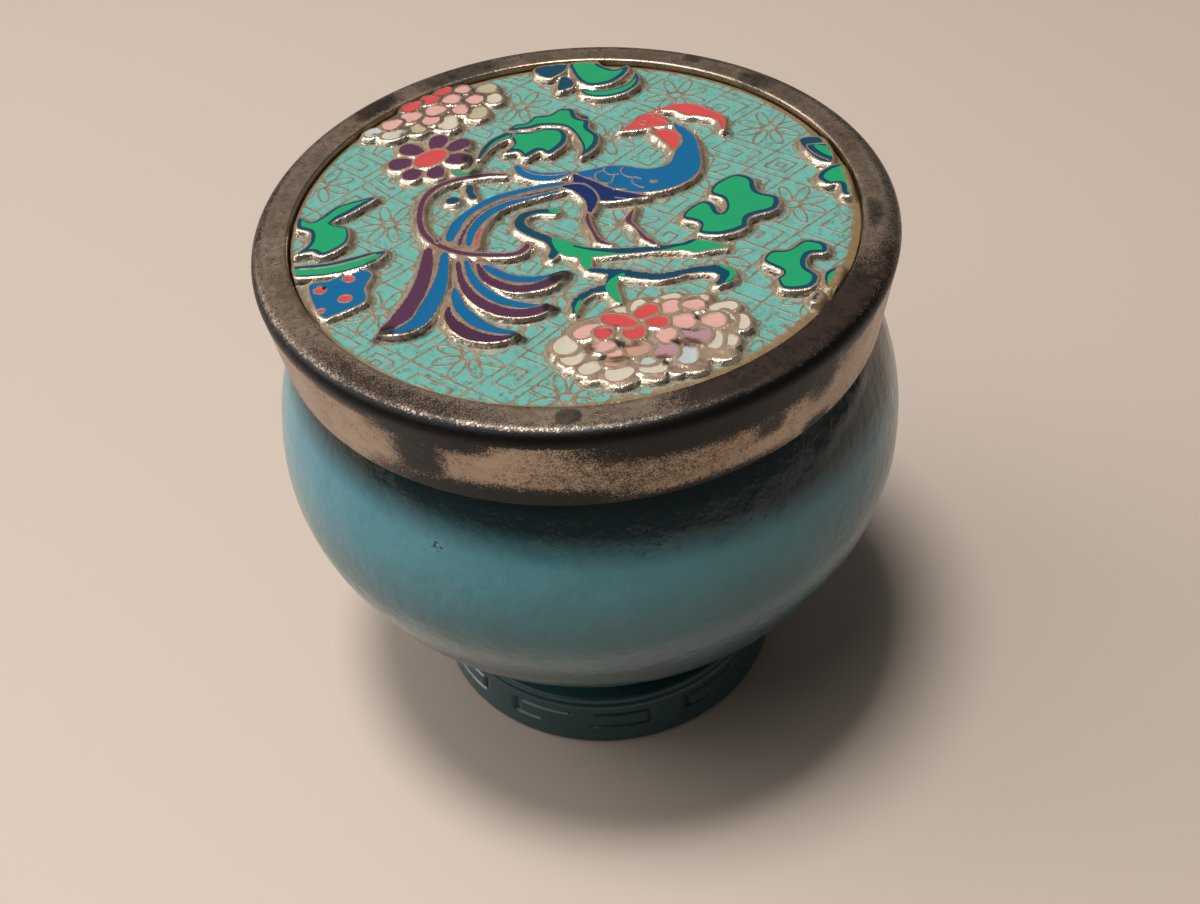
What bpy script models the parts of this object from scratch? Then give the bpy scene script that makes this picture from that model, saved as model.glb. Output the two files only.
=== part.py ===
"""Footed jar with a lift-off lid, whose embossed enamel disc shows a crested bird among leaves and peonies.

Metres, +Z up. The origin is the centre of the foot's underside and the front of the picture faces -Y.
"""
import math

import bmesh
import bpy
import numpy as np
from mathutils import Vector
from mathutils.geometry import delaunay_2d_cdt

MM = 0.001

# Jar
FOOT_RADIUS = 24.4 * MM
FOOT_HEIGHT = 8.6 * MM
FOOT_TAPER = 0.8 * MM
FOOT_WALL = 2.0 * MM
FOOT_EDGE_ROUND = 0.5 * MM
GROOVE_DROP = 1.2 * MM
GROOVE_WIDTH = 0.7 * MM
GROOVE_DEPTH = 0.4 * MM
WAIST_RADIUS = 19.0 * MM
WAIST_HEIGHT = 5.0 * MM
BOWL_ROOT_INSET = 2.9 * MM
BELLY_RADIUS = 39.9 * MM
BELLY_RISE = 28.2 * MM
BELLY_FULLNESS = 1.68
SHOULDER_RISE = 19.0 * MM
SHOULDER_FALL = 2.08
JAR_WALL = 1.5 * MM
MOUTH_RADIUS = 34.6 * MM
MOUTH_HEIGHT = 9.2 * MM
MOUTH_EDGE_ROUND = 0.5 * MM
COVE_SHARE = 1 / 3

# Lid
LID_PLAY = 0.7 * MM
LID_WALL = 1.4 * MM
LID_FLARE = 1.3 * MM
LID_EDGE_ROUND = 1.6 * MM
SKIRT_CLEARANCE = 0.4 * MM
SKIRT_EDGE_START = -40
DECK_THICKNESS = 1.0 * MM
BEZEL_WIDTH = 4.4 * MM
BEZEL_ROUND = 0.3 * MM
RECESS_DEPTH = 0.8 * MM
PLAQUE_THICKNESS = 0.8 * MM

# Fits
SEAT_GAP = 0.3 * MM
PLAQUE_GAP = 0.3 * MM

# Relief of the picture: every figure is a flat top with a slope all round it
RELIEF_SLOPE = 0.65 * MM
BIRD_RISE = 0.75 * MM
TAIL_RISE = 0.70 * MM
LEAF_RISE = 0.80 * MM
TWIG_RISE = 0.55 * MM
FLOWER_RISE = 0.60 * MM
PETAL_STEP = 0.12 * MM

# Facets
TURNED_STEPS = 48
BOWL_STEPS = 8
BOWL_INSIDE_STEPS = 6
SHOULDER_STEPS = 4
SHOULDER_INSIDE_STEPS = 3
WAIST_CROWDING = 1.5
PLAQUE_STEPS = 96
OUTLINE_STEP = 1.05 * MM
PETAL_POINTS = 7
SLOPE_TOLERANCE = 0.85
TURNED_SHARP_ANGLE = 35
PLAQUE_SHARP_ANGLE = 20
HIDDEN_FOOT_SHARE = 0.25

# Heights and radii that follow from the sizes above
WAIST_TOP = FOOT_HEIGHT + WAIST_HEIGHT
BOWL_ROOT_RADIUS = WAIST_RADIUS - BOWL_ROOT_INSET
BELLY_HEIGHT = WAIST_TOP + BELLY_RISE
SHOULDER_HEIGHT = BELLY_HEIGHT + SHOULDER_RISE
MOUTH_TOP = SHOULDER_HEIGHT + MOUTH_HEIGHT
SKIRT_BOTTOM = SHOULDER_HEIGHT + SKIRT_CLEARANCE
DECK_UNDERSIDE = MOUTH_TOP + SEAT_GAP
DECK_TOP = DECK_UNDERSIDE + DECK_THICKNESS
PLAQUE_BOTTOM = DECK_TOP + SEAT_GAP
PLAQUE_GROUND = PLAQUE_BOTTOM + PLAQUE_THICKNESS
LID_TOP = PLAQUE_GROUND + RECESS_DEPTH
SKIRT_INNER_RADIUS = MOUTH_RADIUS + LID_PLAY
SKIRT_RADIUS = SKIRT_INNER_RADIUS + LID_WALL
LID_RADIUS = SKIRT_RADIUS + LID_FLARE
RECESS_RADIUS = LID_RADIUS - BEZEL_WIDTH
PLAQUE_RADIUS = RECESS_RADIUS - PLAQUE_GAP

# The picture is drawn on a disc of this radius, in its own units, and scaled to the plaque
DRAWING_RADIUS = 33.3
DRAWING_UNIT = PLAQUE_RADIUS / DRAWING_RADIUS


def clear_scene():
    for thing in list(bpy.data.objects):
        bpy.data.objects.remove(thing, do_unlink=True)


def make_material(name, colour, roughness, metallic):
    material = bpy.data.materials.new(name)
    material.use_nodes = True
    shader = material.node_tree.nodes["Principled BSDF"]
    shader.inputs["Base Color"].default_value = (*colour, 1.0)
    shader.inputs["Roughness"].default_value = roughness
    shader.inputs["Metallic"].default_value = metallic
    return material


def add_object(name, mesh, material, sharp_angle):
    mesh.materials.append(material)
    mesh.shade_smooth()
    mesh.set_sharp_from_angle(angle=math.radians(sharp_angle))
    thing = bpy.data.objects.new(name, mesh)
    bpy.context.scene.collection.objects.link(thing)
    return thing


def arc(centre, radius, start, end, steps):
    """Points on a circle arc in the radius and height plane, angles in degrees."""
    angles = [math.radians(start + (end - start) * step / steps) for step in range(steps + 1)]
    return [(centre[0] + radius * math.cos(angle), centre[1] + radius * math.sin(angle)) for angle in angles]


def turned_mesh(name, profile):
    """Turn a profile of (radius, height) points, both ends on the axis, into a closed body."""
    shape = bmesh.new()
    points = [shape.verts.new((radius, 0.0, height)) for radius, height in profile]
    edges = [shape.edges.new(pair) for pair in zip(points, points[1:])]
    bmesh.ops.spin(shape, geom=points + edges, cent=(0, 0, 0), axis=(0, 0, 1),
                   angle=math.tau, steps=TURNED_STEPS, use_merge=True)
    bmesh.ops.remove_doubles(shape, verts=shape.verts[:], dist=1e-6)
    bmesh.ops.recalc_face_normals(shape, faces=shape.faces[:])
    mesh = bpy.data.meshes.new(name)
    shape.to_mesh(mesh)
    shape.free()
    return mesh


def bowl_side(steps):
    """The outside of the bowl from the waist up to the belly, as a superellipse."""
    span = BELLY_RADIUS - BOWL_ROOT_RADIUS
    share = (WAIST_RADIUS - BOWL_ROOT_RADIUS) / span
    start = 1 - (1 - share ** BELLY_FULLNESS) ** (1 / BELLY_FULLNESS)
    points = []
    for step in range(steps + 1):
        along = start + (1 - start) * (step / steps) ** WAIST_CROWDING
        reach = (1 - (1 - along) ** BELLY_FULLNESS) ** (1 / BELLY_FULLNESS)
        points.append((BOWL_ROOT_RADIUS + span * reach, WAIST_TOP + BELLY_RISE * along))
    return points


def shoulder_side(steps):
    """The outside of the bowl from the belly up to the foot of the mouth ring."""
    points = []
    for step in range(1, steps + 1):
        along = step / steps
        radius = BELLY_RADIUS - (BELLY_RADIUS - MOUTH_RADIUS) * along ** SHOULDER_FALL
        points.append((radius, BELLY_HEIGHT + SHOULDER_RISE * along))
    return points


def inset_profile(points, depth):
    """The same profile moved inwards by the wall, square to itself."""
    moved = []
    for index, (radius, height) in enumerate(points):
        before = points[max(index - 1, 0)]
        after = points[min(index + 1, len(points) - 1)]
        run, rise = after[0] - before[0], after[1] - before[1]
        length = math.hypot(run, rise)
        moved.append((radius - depth * rise / length, height + depth * run / length))
    return moved


def make_jar():
    ring_top = FOOT_HEIGHT
    groove = FOOT_HEIGHT - GROOVE_DROP
    top_radius = FOOT_RADIUS - FOOT_TAPER
    recess_radius = FOOT_RADIUS - FOOT_WALL
    stem_recess_radius = WAIST_RADIUS - FOOT_WALL
    floor_underside = WAIST_TOP - FOOT_EDGE_ROUND
    floor_top = floor_underside + JAR_WALL

    underside = [(0, floor_underside), (stem_recess_radius, floor_underside),
                 (stem_recess_radius, FOOT_HEIGHT), (recess_radius - FOOT_TAPER, FOOT_HEIGHT - FOOT_WALL),
                 (recess_radius, 0)]
    foot = [(FOOT_RADIUS - FOOT_EDGE_ROUND, 0), (FOOT_RADIUS, FOOT_EDGE_ROUND),
            (top_radius, groove - GROOVE_WIDTH / 2), (top_radius - GROOVE_DEPTH, groove),
            (top_radius, groove + GROOVE_WIDTH / 2)]
    foot += arc((top_radius - FOOT_EDGE_ROUND, ring_top - FOOT_EDGE_ROUND), FOOT_EDGE_ROUND, 0, 90, 2)
    cove_radius = (top_radius - WAIST_RADIUS) * COVE_SHARE
    cove = arc((WAIST_RADIUS + cove_radius, ring_top + cove_radius), cove_radius, 270, 180, 3)
    outside = bowl_side(BOWL_STEPS) + shoulder_side(SHOULDER_STEPS)
    edge_centre = (MOUTH_RADIUS - MOUTH_EDGE_ROUND, MOUTH_TOP - MOUTH_EDGE_ROUND)
    mouth_edge = arc(edge_centre, MOUTH_EDGE_ROUND, 0, 90, 2)
    mouth_bore = [(MOUTH_RADIUS - JAR_WALL, MOUTH_TOP)]
    inside = inset_profile(bowl_side(BOWL_INSIDE_STEPS) + shoulder_side(SHOULDER_INSIDE_STEPS), JAR_WALL)
    inside = [point for point in inside if point[1] > floor_top + JAR_WALL / 2]
    inside = inside[::-1] + [(WAIST_RADIUS - JAR_WALL, floor_top), (0, floor_top)]
    profile = underside + foot + cove + outside + mouth_edge + mouth_bore + inside
    mesh = turned_mesh("jar_body", profile)
    paint = make_material("turquoise_paint", (0.09, 0.27, 0.31), 0.32, 0.0)
    return add_object("jar_body", mesh, paint, TURNED_SHARP_ANGLE)


def make_lid_rim():
    deck = [(0, DECK_UNDERSIDE), (SKIRT_INNER_RADIUS, DECK_UNDERSIDE), (SKIRT_INNER_RADIUS, SKIRT_BOTTOM)]
    edge_radius = LID_WALL / 2
    edge_height = SKIRT_BOTTOM - edge_radius * math.sin(math.radians(SKIRT_EDGE_START))
    skirt_edge = arc((SKIRT_RADIUS - edge_radius, edge_height), edge_radius, SKIRT_EDGE_START, 0, 2)
    top_edge = arc((LID_RADIUS - LID_EDGE_ROUND, LID_TOP - LID_EDGE_ROUND), LID_EDGE_ROUND, 0, 90, 4)
    bezel = [(RECESS_RADIUS + BEZEL_ROUND, LID_TOP), (RECESS_RADIUS, LID_TOP - BEZEL_ROUND),
             (RECESS_RADIUS, DECK_TOP), (0, DECK_TOP)]
    mesh = turned_mesh("lid_rim", deck + skirt_edge + top_edge + bezel)
    metal = make_material("tarnished_nickel", (0.36, 0.31, 0.26), 0.38, 1.0)
    return add_object("lid_rim", mesh, metal, TURNED_SHARP_ANGLE)


def smooth_line(points, closed, step):
    """Points a step apart along a Catmull-Rom curve through the given points."""
    knots = [np.array(point, float) for point in points]
    count = len(knots)
    spans = count if closed else count - 1
    line = []
    for span in range(spans):
        if closed:
            a, b, c, d = (knots[(span + shift) % count] for shift in (-1, 0, 1, 2))
        else:
            b, c = knots[span], knots[span + 1]
            a = knots[span - 1] if span else 2 * b - c
            d = knots[span + 2] if span + 2 < count else 2 * c - b
        pieces = max(1, round(float(np.linalg.norm(c - b)) / step))
        for piece in range(pieces):
            t = piece / pieces
            line.append(0.5 * (2 * b + (c - a) * t + (2 * a - 5 * b + 4 * c - d) * t ** 2
                               + (3 * b - a - 3 * c + d) * t ** 3))
    if not closed:
        line.append(knots[-1])
    return np.array(line)


def stroke(points, widths, step):
    """Outline of a brush stroke along a curve, its width changing from point to point."""
    tagged = [(*point, width) for point, width in zip(points, widths)]
    line = smooth_line(tagged, False, step)
    centre, half = line[:, :2], np.maximum(line[:, 2], 0.1) / 2
    along = np.gradient(centre, axis=0)
    along /= np.linalg.norm(along, axis=1)[:, None]
    side = np.stack([-along[:, 1], along[:, 0]], 1)
    left = centre + side * half[:, None]
    right = centre - side * half[:, None]
    first = centre[0] - along[0] * half[0]
    last = centre[-1] + along[-1] * half[-1]
    return np.vstack([left, last, right[::-1], first])


def oval(centre, long_radius, short_radius, turn, step):
    """Outline of an ellipse whose long side is turned by an angle in degrees."""
    around = max(PETAL_POINTS, round(math.pi * (long_radius + short_radius) / step))
    angles = np.arange(around) * math.tau / around
    across = np.stack([long_radius * np.cos(angles), short_radius * np.sin(angles)], 1)
    cosine, sine = math.cos(math.radians(turn)), math.sin(math.radians(turn))
    return across @ np.array([[cosine, sine], [-sine, cosine]]) + np.array(centre)


def bird(step):
    body = stroke([(0.8, 7.7), (2.2, 7.0), (4.9, 6.1), (9.6, 4.7), (13.4, 6.4), (14.5, 10.4), (14.6, 13.6),
                   (13.5, 16.5)], [0.4, 2.4, 5.0, 5.0, 4.3, 3.1, 2.1, 0.5], step)
    throat = stroke([(10.9, 15.0), (12.4, 14.0), (12.9, 12.3), (12.7, 10.4)], [1.2, 2.6, 2.0, 0.3], step)
    head = stroke([(6.5, 15.8), (8.6, 16.6), (10.6, 17.6), (12.4, 16.7)], [0.3, 1.9, 3.6, 1.6], step)
    crest = stroke([(10.8, 19.7), (12.4, 20.0), (14.2, 20.1), (15.9, 19.3), (17.4, 18.4), (19.1, 17.0),
                    (19.4, 14.3)], [0.3, 0.7, 1.9, 3.0, 2.0, 1.4, 0.4], step)
    wing = stroke([(0.4, 7.3), (1.6, 4.9), (4.0, 2.6), (8.9, 1.5)], [0.5, 2.7, 2.9, 0.3], step)
    thigh = stroke([(-1.0, 5.0), (1.0, 4.2), (2.2, 1.9), (1.9, -0.8)], [0.7, 2.0, 1.8, 0.7], step)
    back_plume = stroke([(-6.5, 10.0), (-5.6, 8.6), (-3.8, 7.4), (-1.8, 7.2), (0.1, 7.7)],
                        [0.9, 1.7, 1.9, 1.7, 0.8], step)
    near_leg = stroke([(1.6, -0.9), (1.6, -2.5), (2.2, -5.0), (2.7, -6.4), (4.0, -7.3)],
                      [0.6, 0.75, 0.65, 0.9, 0.4], step)
    far_leg = stroke([(7.3, -0.4), (6.5, -2.1), (6.3, -3.1), (7.0, -4.4), (7.8, -6.4), (9.0, -7.8)],
                     [0.2, 0.8, 0.9, 0.5, 0.8, 0.7], step)
    return [body, throat, head, crest, wing, thigh, back_plume, near_leg, far_leg]


def tail(step):
    fan = stroke([(-0.6, 5.1), (-4.4, 4.4), (-8.4, 3.1), (-11.0, 0.8), (-12.7, -2.0), (-13.1, -5.2)],
                 [1.8, 2.5, 2.8, 3.4, 4.2, 4.0], step)
    long_feather = stroke([(-16.1, -5.3), (-16.3, -9.0), (-16.8, -12.5), (-17.9, -15.6), (-19.3, -17.9),
                           (-21.4, -19.2)], [2.7, 3.4, 3.9, 4.2, 3.9, 1.6], step)
    upper_plume = stroke([(-11.0, -8.3), (-10.2, -10.4), (-8.2, -12.4), (-5.6, -13.2), (-3.2, -12.7),
                          (-1.6, -11.6)], [1.2, 2.4, 2.7, 2.7, 2.2, 0.8], step)
    middle_plume = stroke([(-13.1, -7.8), (-12.7, -10.6), (-11.7, -13.3), (-10.1, -15.5), (-8.1, -17.0),
                           (-5.8, -17.6), (-3.7, -17.4)], [1.6, 2.2, 2.6, 2.8, 2.8, 2.3, 1.2], step)
    lower_plume = stroke([(-14.0, -13.0), (-14.0, -16.0), (-13.2, -18.2), (-11.7, -20.2), (-9.6, -21.3),
                          (-7.5, -21.5)], [0.9, 2.4, 3.2, 3.3, 2.4, 1.0], step)
    scroll = stroke([(-7.7, 8.5), (-10.5, 8.8), (-13.5, 8.4), (-16.0, 7.2), (-17.6, 5.0), (-18.1, 2.2),
                     (-17.9, -0.8), (-16.9, -3.2), (-14.9, -5.3), (-12.6, -6.6), (-9.5, -7.3), (-7.0, -7.4),
                     (-5.7, -6.4), (-5.6, -5.6)], [0.6] + 12 * [0.95] + [0.8], step)
    return [fan, long_feather, upper_plume, middle_plume, lower_plume, scroll]


def leaves(step):
    crown = smooth_line([(-7.4, 17.9), (-6.4, 19.2), (-4.9, 19.5), (-3.8, 20.8), (-1.9, 20.9), (-0.6, 22.0),
                         (1.1, 21.7), (1.6, 19.7), (3.0, 18.7), (2.9, 17.1), (4.0, 15.0), (3.4, 12.6),
                         (1.5, 10.9), (1.7, 13.2), (0.2, 17.3), (-2.8, 18.4), (-4.6, 17.9)], True, step)
    lobe = smooth_line([(-7.5, 17.4), (-4.4, 17.3), (-2.4, 17.8), (-0.3, 17.0), (-0.1, 14.4), (-2.2, 11.9),
                        (-3.5, 12.8), (-5.2, 11.6), (-6.2, 13.0), (-7.9, 13.0), (-6.7, 15.0)], True, step)
    arm = stroke([(-11.1, 12.2), (-10.3, 14.2), (-9.0, 15.9), (-7.2, 17.0)], [0.6, 1.0, 1.3, 1.5], step)
    three_lobed = smooth_line([(12.5, -3.5), (13.2, -1.8), (15.2, -0.4), (16.4, -1.2), (16.9, -3.0),
                               (17.6, -2.4), (17.6, -0.5), (16.2, 0.9), (17.0, 2.8), (19.6, 4.4), (21.6, 3.2),
                               (21.9, 0.6), (24.0, -0.9), (23.4, -3.3), (20.3, -4.4), (19.5, -6.3),
                               (16.6, -7.3), (14.1, -6.6), (14.3, -4.8)], True, step)
    hooked = smooth_line([(20.6, -12.8), (21.7, -11.0), (23.7, -10.9), (25.8, -9.5), (27.9, -10.4),
                          (27.8, -12.1), (25.9, -12.3), (25.2, -14.2), (26.2, -16.2), (25.0, -18.1),
                          (22.2, -18.0), (21.6, -16.1), (22.4, -14.9)], True, step)
    edge_upper = smooth_line([(28.2, 10.4), (30.9, 10.7), (31.7, 8.0), (31.4, 5.2), (29.6, 6.1)], True, step)
    edge_lower = smooth_line([(32.6, 4.3), (30.4, 4.1), (29.1, 2.4), (30.0, 0.8), (31.4, 0.6), (31.4, -1.3),
                              (32.6, -1.5)], True, step)
    edge_slip = stroke([(28.8, -14.9), (27.7, -16.2), (27.2, -18.1)], [0.8, 1.8, 1.3], step)
    edge_bud = stroke([(25.8, -19.1), (25.0, -20.3)], [1.0, 1.0], step)
    top_round = smooth_line([(1.3, 33.0), (1.4, 30.6), (2.3, 28.1), (3.8, 26.8), (6.4, 27.2), (8.5, 29.3),
                             (8.8, 31.1), (6.9, 30.5), (5.2, 32.0), (4.6, 33.2)], True, step)
    top_crescent = stroke([(2.5, 26.0), (3.6, 25.1), (5.6, 24.8), (8.0, 25.5), (9.5, 27.3), (9.7, 29.2)],
                          [0.9, 1.6, 1.8, 1.6, 1.2, 0.4], step)
    top_small = smooth_line([(0.2, 29.9), (1.4, 28.6), (1.4, 27.1), (-0.6, 26.3), (-0.6, 28.3)], True, step)
    top_dark = smooth_line([(-3.2, 32.6), (-3.3, 31.0), (-1.6, 29.6), (0.5, 31.2), (0.6, 33.0)], True, step)
    left_leaf = smooth_line([(-32.5, 3.1), (-31.0, 2.1), (-29.8, 2.9), (-27.8, 4.9), (-23.3, 6.1),
                             (-26.0, 3.4), (-28.4, 1.4), (-26.5, 0.2), (-26.5, -2.8), (-29.0, -4.8),
                             (-30.6, -3.9), (-32.4, -4.3), (-31.0, -2.4), (-31.0, -0.2), (-32.6, 1.0)],
                            True, step)
    striped = stroke([(-32.4, -7.4), (-28.5, -7.4), (-25.6, -6.7), (-23.3, -5.8), (-21.9, -5.0)],
                     [2.2, 2.4, 2.4, 1.9, 0.6], step)
    return [crown, lobe, arm, three_lobed, hooked, edge_upper, edge_lower, edge_slip, edge_bud,
            top_round, top_crescent, top_small, top_dark, left_leaf, striped]


def twigs(step):
    curl = stroke([(-2.0, 0.3), (-4.2, 0.6), (-6.0, -0.2), (-6.3, -1.9), (-5.0, -3.6), (-3.2, -5.1),
                   (-2.4, -6.8), (-3.0, -8.6)], [1.2, 1.1, 1.3, 1.5, 1.4, 1.4, 1.5, 1.0], step)
    perch = stroke([(-2.4, -5.2), (-1.0, -7.0), (1.2, -8.1), (5.0, -8.4), (9.5, -8.5), (12.0, -8.6),
                    (13.6, -8.6), (17.0, -9.2)], [1.0, 2.4, 1.9, 1.1, 1.0, 1.4, 2.4, 0.4], step)
    drop = stroke([(0.9, -8.2), (0.9, -9.7), (1.2, -11.2)], [1.4, 1.4, 0.7], step)
    low_branch = stroke([(1.3, -11.4), (4.6, -12.3), (8.9, -13.6), (12.4, -13.0), (15.3, -13.1),
                         (16.4, -14.4), (15.0, -15.8)], [0.7, 1.3, 1.2, 1.0, 1.5, 1.9, 0.6], step)
    stem = stroke([(3.6, -12.8), (3.3, -14.6), (1.2, -15.2), (-0.4, -16.6), (-0.9, -18.6)],
                  [1.2, 1.4, 0.9, 1.1, 0.6], step)
    spur = stroke([(3.4, -14.8), (4.1, -17.3)], [1.3, 0.7], step)
    small_branch = stroke([(-12.3, 7.2), (-12.1, 5.3), (-11.6, 4.2)], [0.9, 1.0, 0.8], step)
    small_bud = oval((-14.2, 4.2), 0.9, 0.7, 0, step)
    hook = stroke([(-14.3, 10.7), (-13.4, 9.6), (-11.8, 9.7), (-11.3, 11.0)], [0.7, 0.8, 0.8, 0.5], step)
    return [curl, perch, drop, low_branch, stem, spur, small_branch, small_bud, hook]


# Petals as ovals: place, long and short radius, and turn in degrees
DAISY_PETALS = [(-16.2, 16.9, 1.9, 1.3, 72), (-13.7, 15.9, 1.9, 1.2, 38), (-13.9, 13.0, 1.8, 1.3, 0),
                (-16.3, 10.5, 1.5, 1.2, 78), (-19.2, 10.5, 1.5, 1.3, 50), (-20.7, 12.9, 1.7, 1.4, 10),
                (-19.4, 15.7, 1.8, 1.4, -28)]
DAISY_HEART = [(-17.0, 13.4, 2.5, 1.7, 38)]
LOW_MOUND = [(6.9, -24.0, 9.4, 5.2, 0)]
LOW_BARE_PETALS = [(7.1, -18.1, 1.0, 0.9, 0), (10.9, -17.9, 0.9, 0.8, 0), (-2.3, -24.9, 1.3, 0.9, 20),
                   (-1.0, -27.1, 1.5, 0.9, 15), (1.0, -29.0, 1.5, 0.8, 15), (3.6, -30.2, 1.6, 0.8, 10),
                   (6.8, -29.8, 1.2, 0.8, 0), (9.2, -29.2, 0.9, 0.8, 0), (11.2, -29.0, 1.3, 0.9, 20),
                   (14.5, -27.5, 1.2, 0.9, 20)]
LOW_OUTER_PETALS = [(9.0, -18.2, 2.2, 1.1, 22), (12.2, -18.4, 1.9, 1.0, 8), (15.1, -20.0, 1.9, 1.0, 5),
                    (16.6, -22.7, 1.4, 1.4, 0), (15.0, -25.8, 1.5, 1.2, 60), (10.6, -27.2, 1.8, 1.4, 65),
                    (6.7, -28.9, 1.9, 1.0, 0), (3.3, -29.2, 1.9, 1.3, 12), (0.4, -28.0, 1.7, 1.1, 18),
                    (-1.3, -26.0, 1.7, 1.4, 35), (-2.0, -24.0, 1.8, 1.5, 75), (0.6, -20.9, 2.5, 0.9, 22),
                    (3.9, -19.4, 2.0, 1.0, 20), (6.0, -18.6, 1.4, 1.0, 50), (6.1, -27.5, 1.4, 1.0, 0),
                    (15.4, -21.9, 1.5, 1.0, -75), (13.7, -25.2, 1.8, 1.1, 75)]
LOW_MIDDLE_PETALS = [(9.3, -19.5, 1.7, 1.2, 20), (12.0, -19.4, 1.5, 1.2, -12), (13.8, -22.2, 1.7, 1.4, -8),
                     (11.8, -24.2, 1.8, 1.5, -30), (8.3, -26.4, 1.5, 1.4, 20), (5.4, -25.7, 1.8, 1.5, 0),
                     (3.0, -27.4, 1.6, 1.0, 0), (2.9, -26.0, 1.2, 1.0, -30), (1.9, -24.9, 1.5, 1.2, 0),
                     (0.4, -22.2, 1.9, 1.2, 25), (8.6, -23.9, 1.5, 1.4, -20), (10.6, -21.9, 1.8, 1.4, -8)]
LOW_INNER_PETALS = [(6.8, -20.0, 1.8, 1.1, 32), (7.9, -21.8, 1.4, 1.1, 0), (5.4, -23.0, 1.5, 1.3, 60),
                    (2.1, -22.9, 1.2, 1.1, 20), (3.9, -21.1, 2.2, 1.2, -22)]
RIM_MOUND = [(-16.4, 24.0, 7.4, 3.6, 32)]
RIM_OUTER_PETALS = [(-10.1, 28.4, 1.7, 1.3, 8), (-9.2, 25.9, 1.5, 1.3, 0), (-11.1, 22.9, 1.7, 1.4, 70),
                    (-14.9, 21.2, 1.9, 1.6, 70), (-18.5, 20.4, 1.6, 1.4, 30), (-21.7, 19.5, 2.0, 1.3, 12),
                    (-24.3, 20.3, 1.5, 1.0, 30)]
RIM_MIDDLE_PETALS = [(-11.6, 25.9, 1.5, 1.4, 0), (-13.4, 23.8, 1.4, 1.4, 0), (-17.1, 21.9, 1.5, 1.4, 0),
                     (-19.6, 23.1, 1.8, 1.5, 20), (-22.0, 21.6, 1.7, 1.3, 30), (-16.5, 24.1, 1.7, 1.5, 8)]
RIM_INNER_PETALS = [(-13.2, 28.3, 1.4, 1.2, 0), (-14.6, 26.2, 1.6, 1.4, 0), (-15.7, 28.2, 1.6, 1.0, 30),
                    (-17.3, 26.5, 1.5, 1.2, 5), (-19.6, 25.3, 1.7, 1.1, 36)]


def flowers(step):
    """Figures in layers. Each layer is one petal step higher than the one before it."""
    blue_bloom = smooth_line([(-30.4, -9.8), (-27.9, -9.2), (-25.4, -7.5), (-23.3, -8.6), (-23.9, -11.2),
                              (-23.8, -13.6), (-27.0, -15.6), (-28.3, -16.0), (-29.6, -13.6)], True, step)
    layers = [DAISY_PETALS + LOW_MOUND + LOW_BARE_PETALS + RIM_MOUND,
              LOW_OUTER_PETALS + RIM_OUTER_PETALS + DAISY_HEART,
              LOW_MIDDLE_PETALS + RIM_MIDDLE_PETALS,
              LOW_INNER_PETALS + RIM_INNER_PETALS]
    outlines = [[oval((x, y), long_radius, short_radius, turn, step)
                 for x, y, long_radius, short_radius, turn in layer] for layer in layers]
    outlines[0].append(blue_bloom)
    return outlines


def picture_figures(step):
    """Every raised figure, as (outline, rise) in metres."""
    layers = [(bird, BIRD_RISE), (tail, TAIL_RISE), (leaves, LEAF_RISE), (twigs, TWIG_RISE)]
    figures = []
    for draw, rise in layers:
        figures += [(outline, rise) for outline in draw(step)]
    for layer, outlines in enumerate(flowers(step)):
        figures += [(outline, FLOWER_RISE + layer * PETAL_STEP) for outline in outlines]
    return [(outline * DRAWING_UNIT, rise) for outline, rise in figures]


def signed_distance(points, outline):
    """Distance from each point to a closed outline, positive inside it."""
    start = outline
    along = np.roll(outline, -1, axis=0) - start
    offset = points[:, None, :] - start[None]
    share = np.clip((offset * along).sum(2) / np.maximum((along ** 2).sum(1), 1e-18), 0, 1)
    distance = np.sqrt(((offset - share[..., None] * along) ** 2).sum(2).min(1))
    end_y = start[:, 1] + along[:, 1]
    spans = (start[:, 1] > points[:, 1:2]) != (end_y > points[:, 1:2])
    height = np.where(along[:, 1] == 0, 1e-18, along[:, 1])
    cross_x = start[:, 0] + (points[:, 1:2] - start[:, 1]) * along[:, 0] / height
    inside = (spans & (points[:, :1] < cross_x)).sum(1) % 2 == 1
    return np.where(inside, distance, -distance)


def relief_height(points, figures, left_out=None):
    """Height of the relief above the ground of the plaque at each point."""
    height = np.zeros(len(points))
    for index, (outline, rise) in enumerate(figures):
        if index == left_out:
            continue
        low, high = outline.min(0) - RELIEF_SLOPE, outline.max(0) + RELIEF_SLOPE
        near = np.all((points > low) & (points < high), axis=1)
        if near.any():
            distance = signed_distance(points[near], outline)
            height[near] = np.maximum(height[near], rise * np.clip(1 + distance / RELIEF_SLOPE, 0, 1))
    return height


def outward(outline, reach):
    """The outline moved outwards. Points that would fall back into the figure are marked False."""
    ahead = np.roll(outline, -1, axis=0) - np.roll(outline, 1, axis=0)
    ahead /= np.maximum(np.linalg.norm(ahead, axis=1), 1e-12)[:, None]
    x, y = outline.T
    turn = np.sign(np.sum(x * np.roll(y, -1) - np.roll(x, -1) * y))
    moved = outline + turn * reach * np.stack([ahead[:, 1], -ahead[:, 0]], 1)
    return moved, signed_distance(moved, outline) < -SLOPE_TOLERANCE * reach


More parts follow.
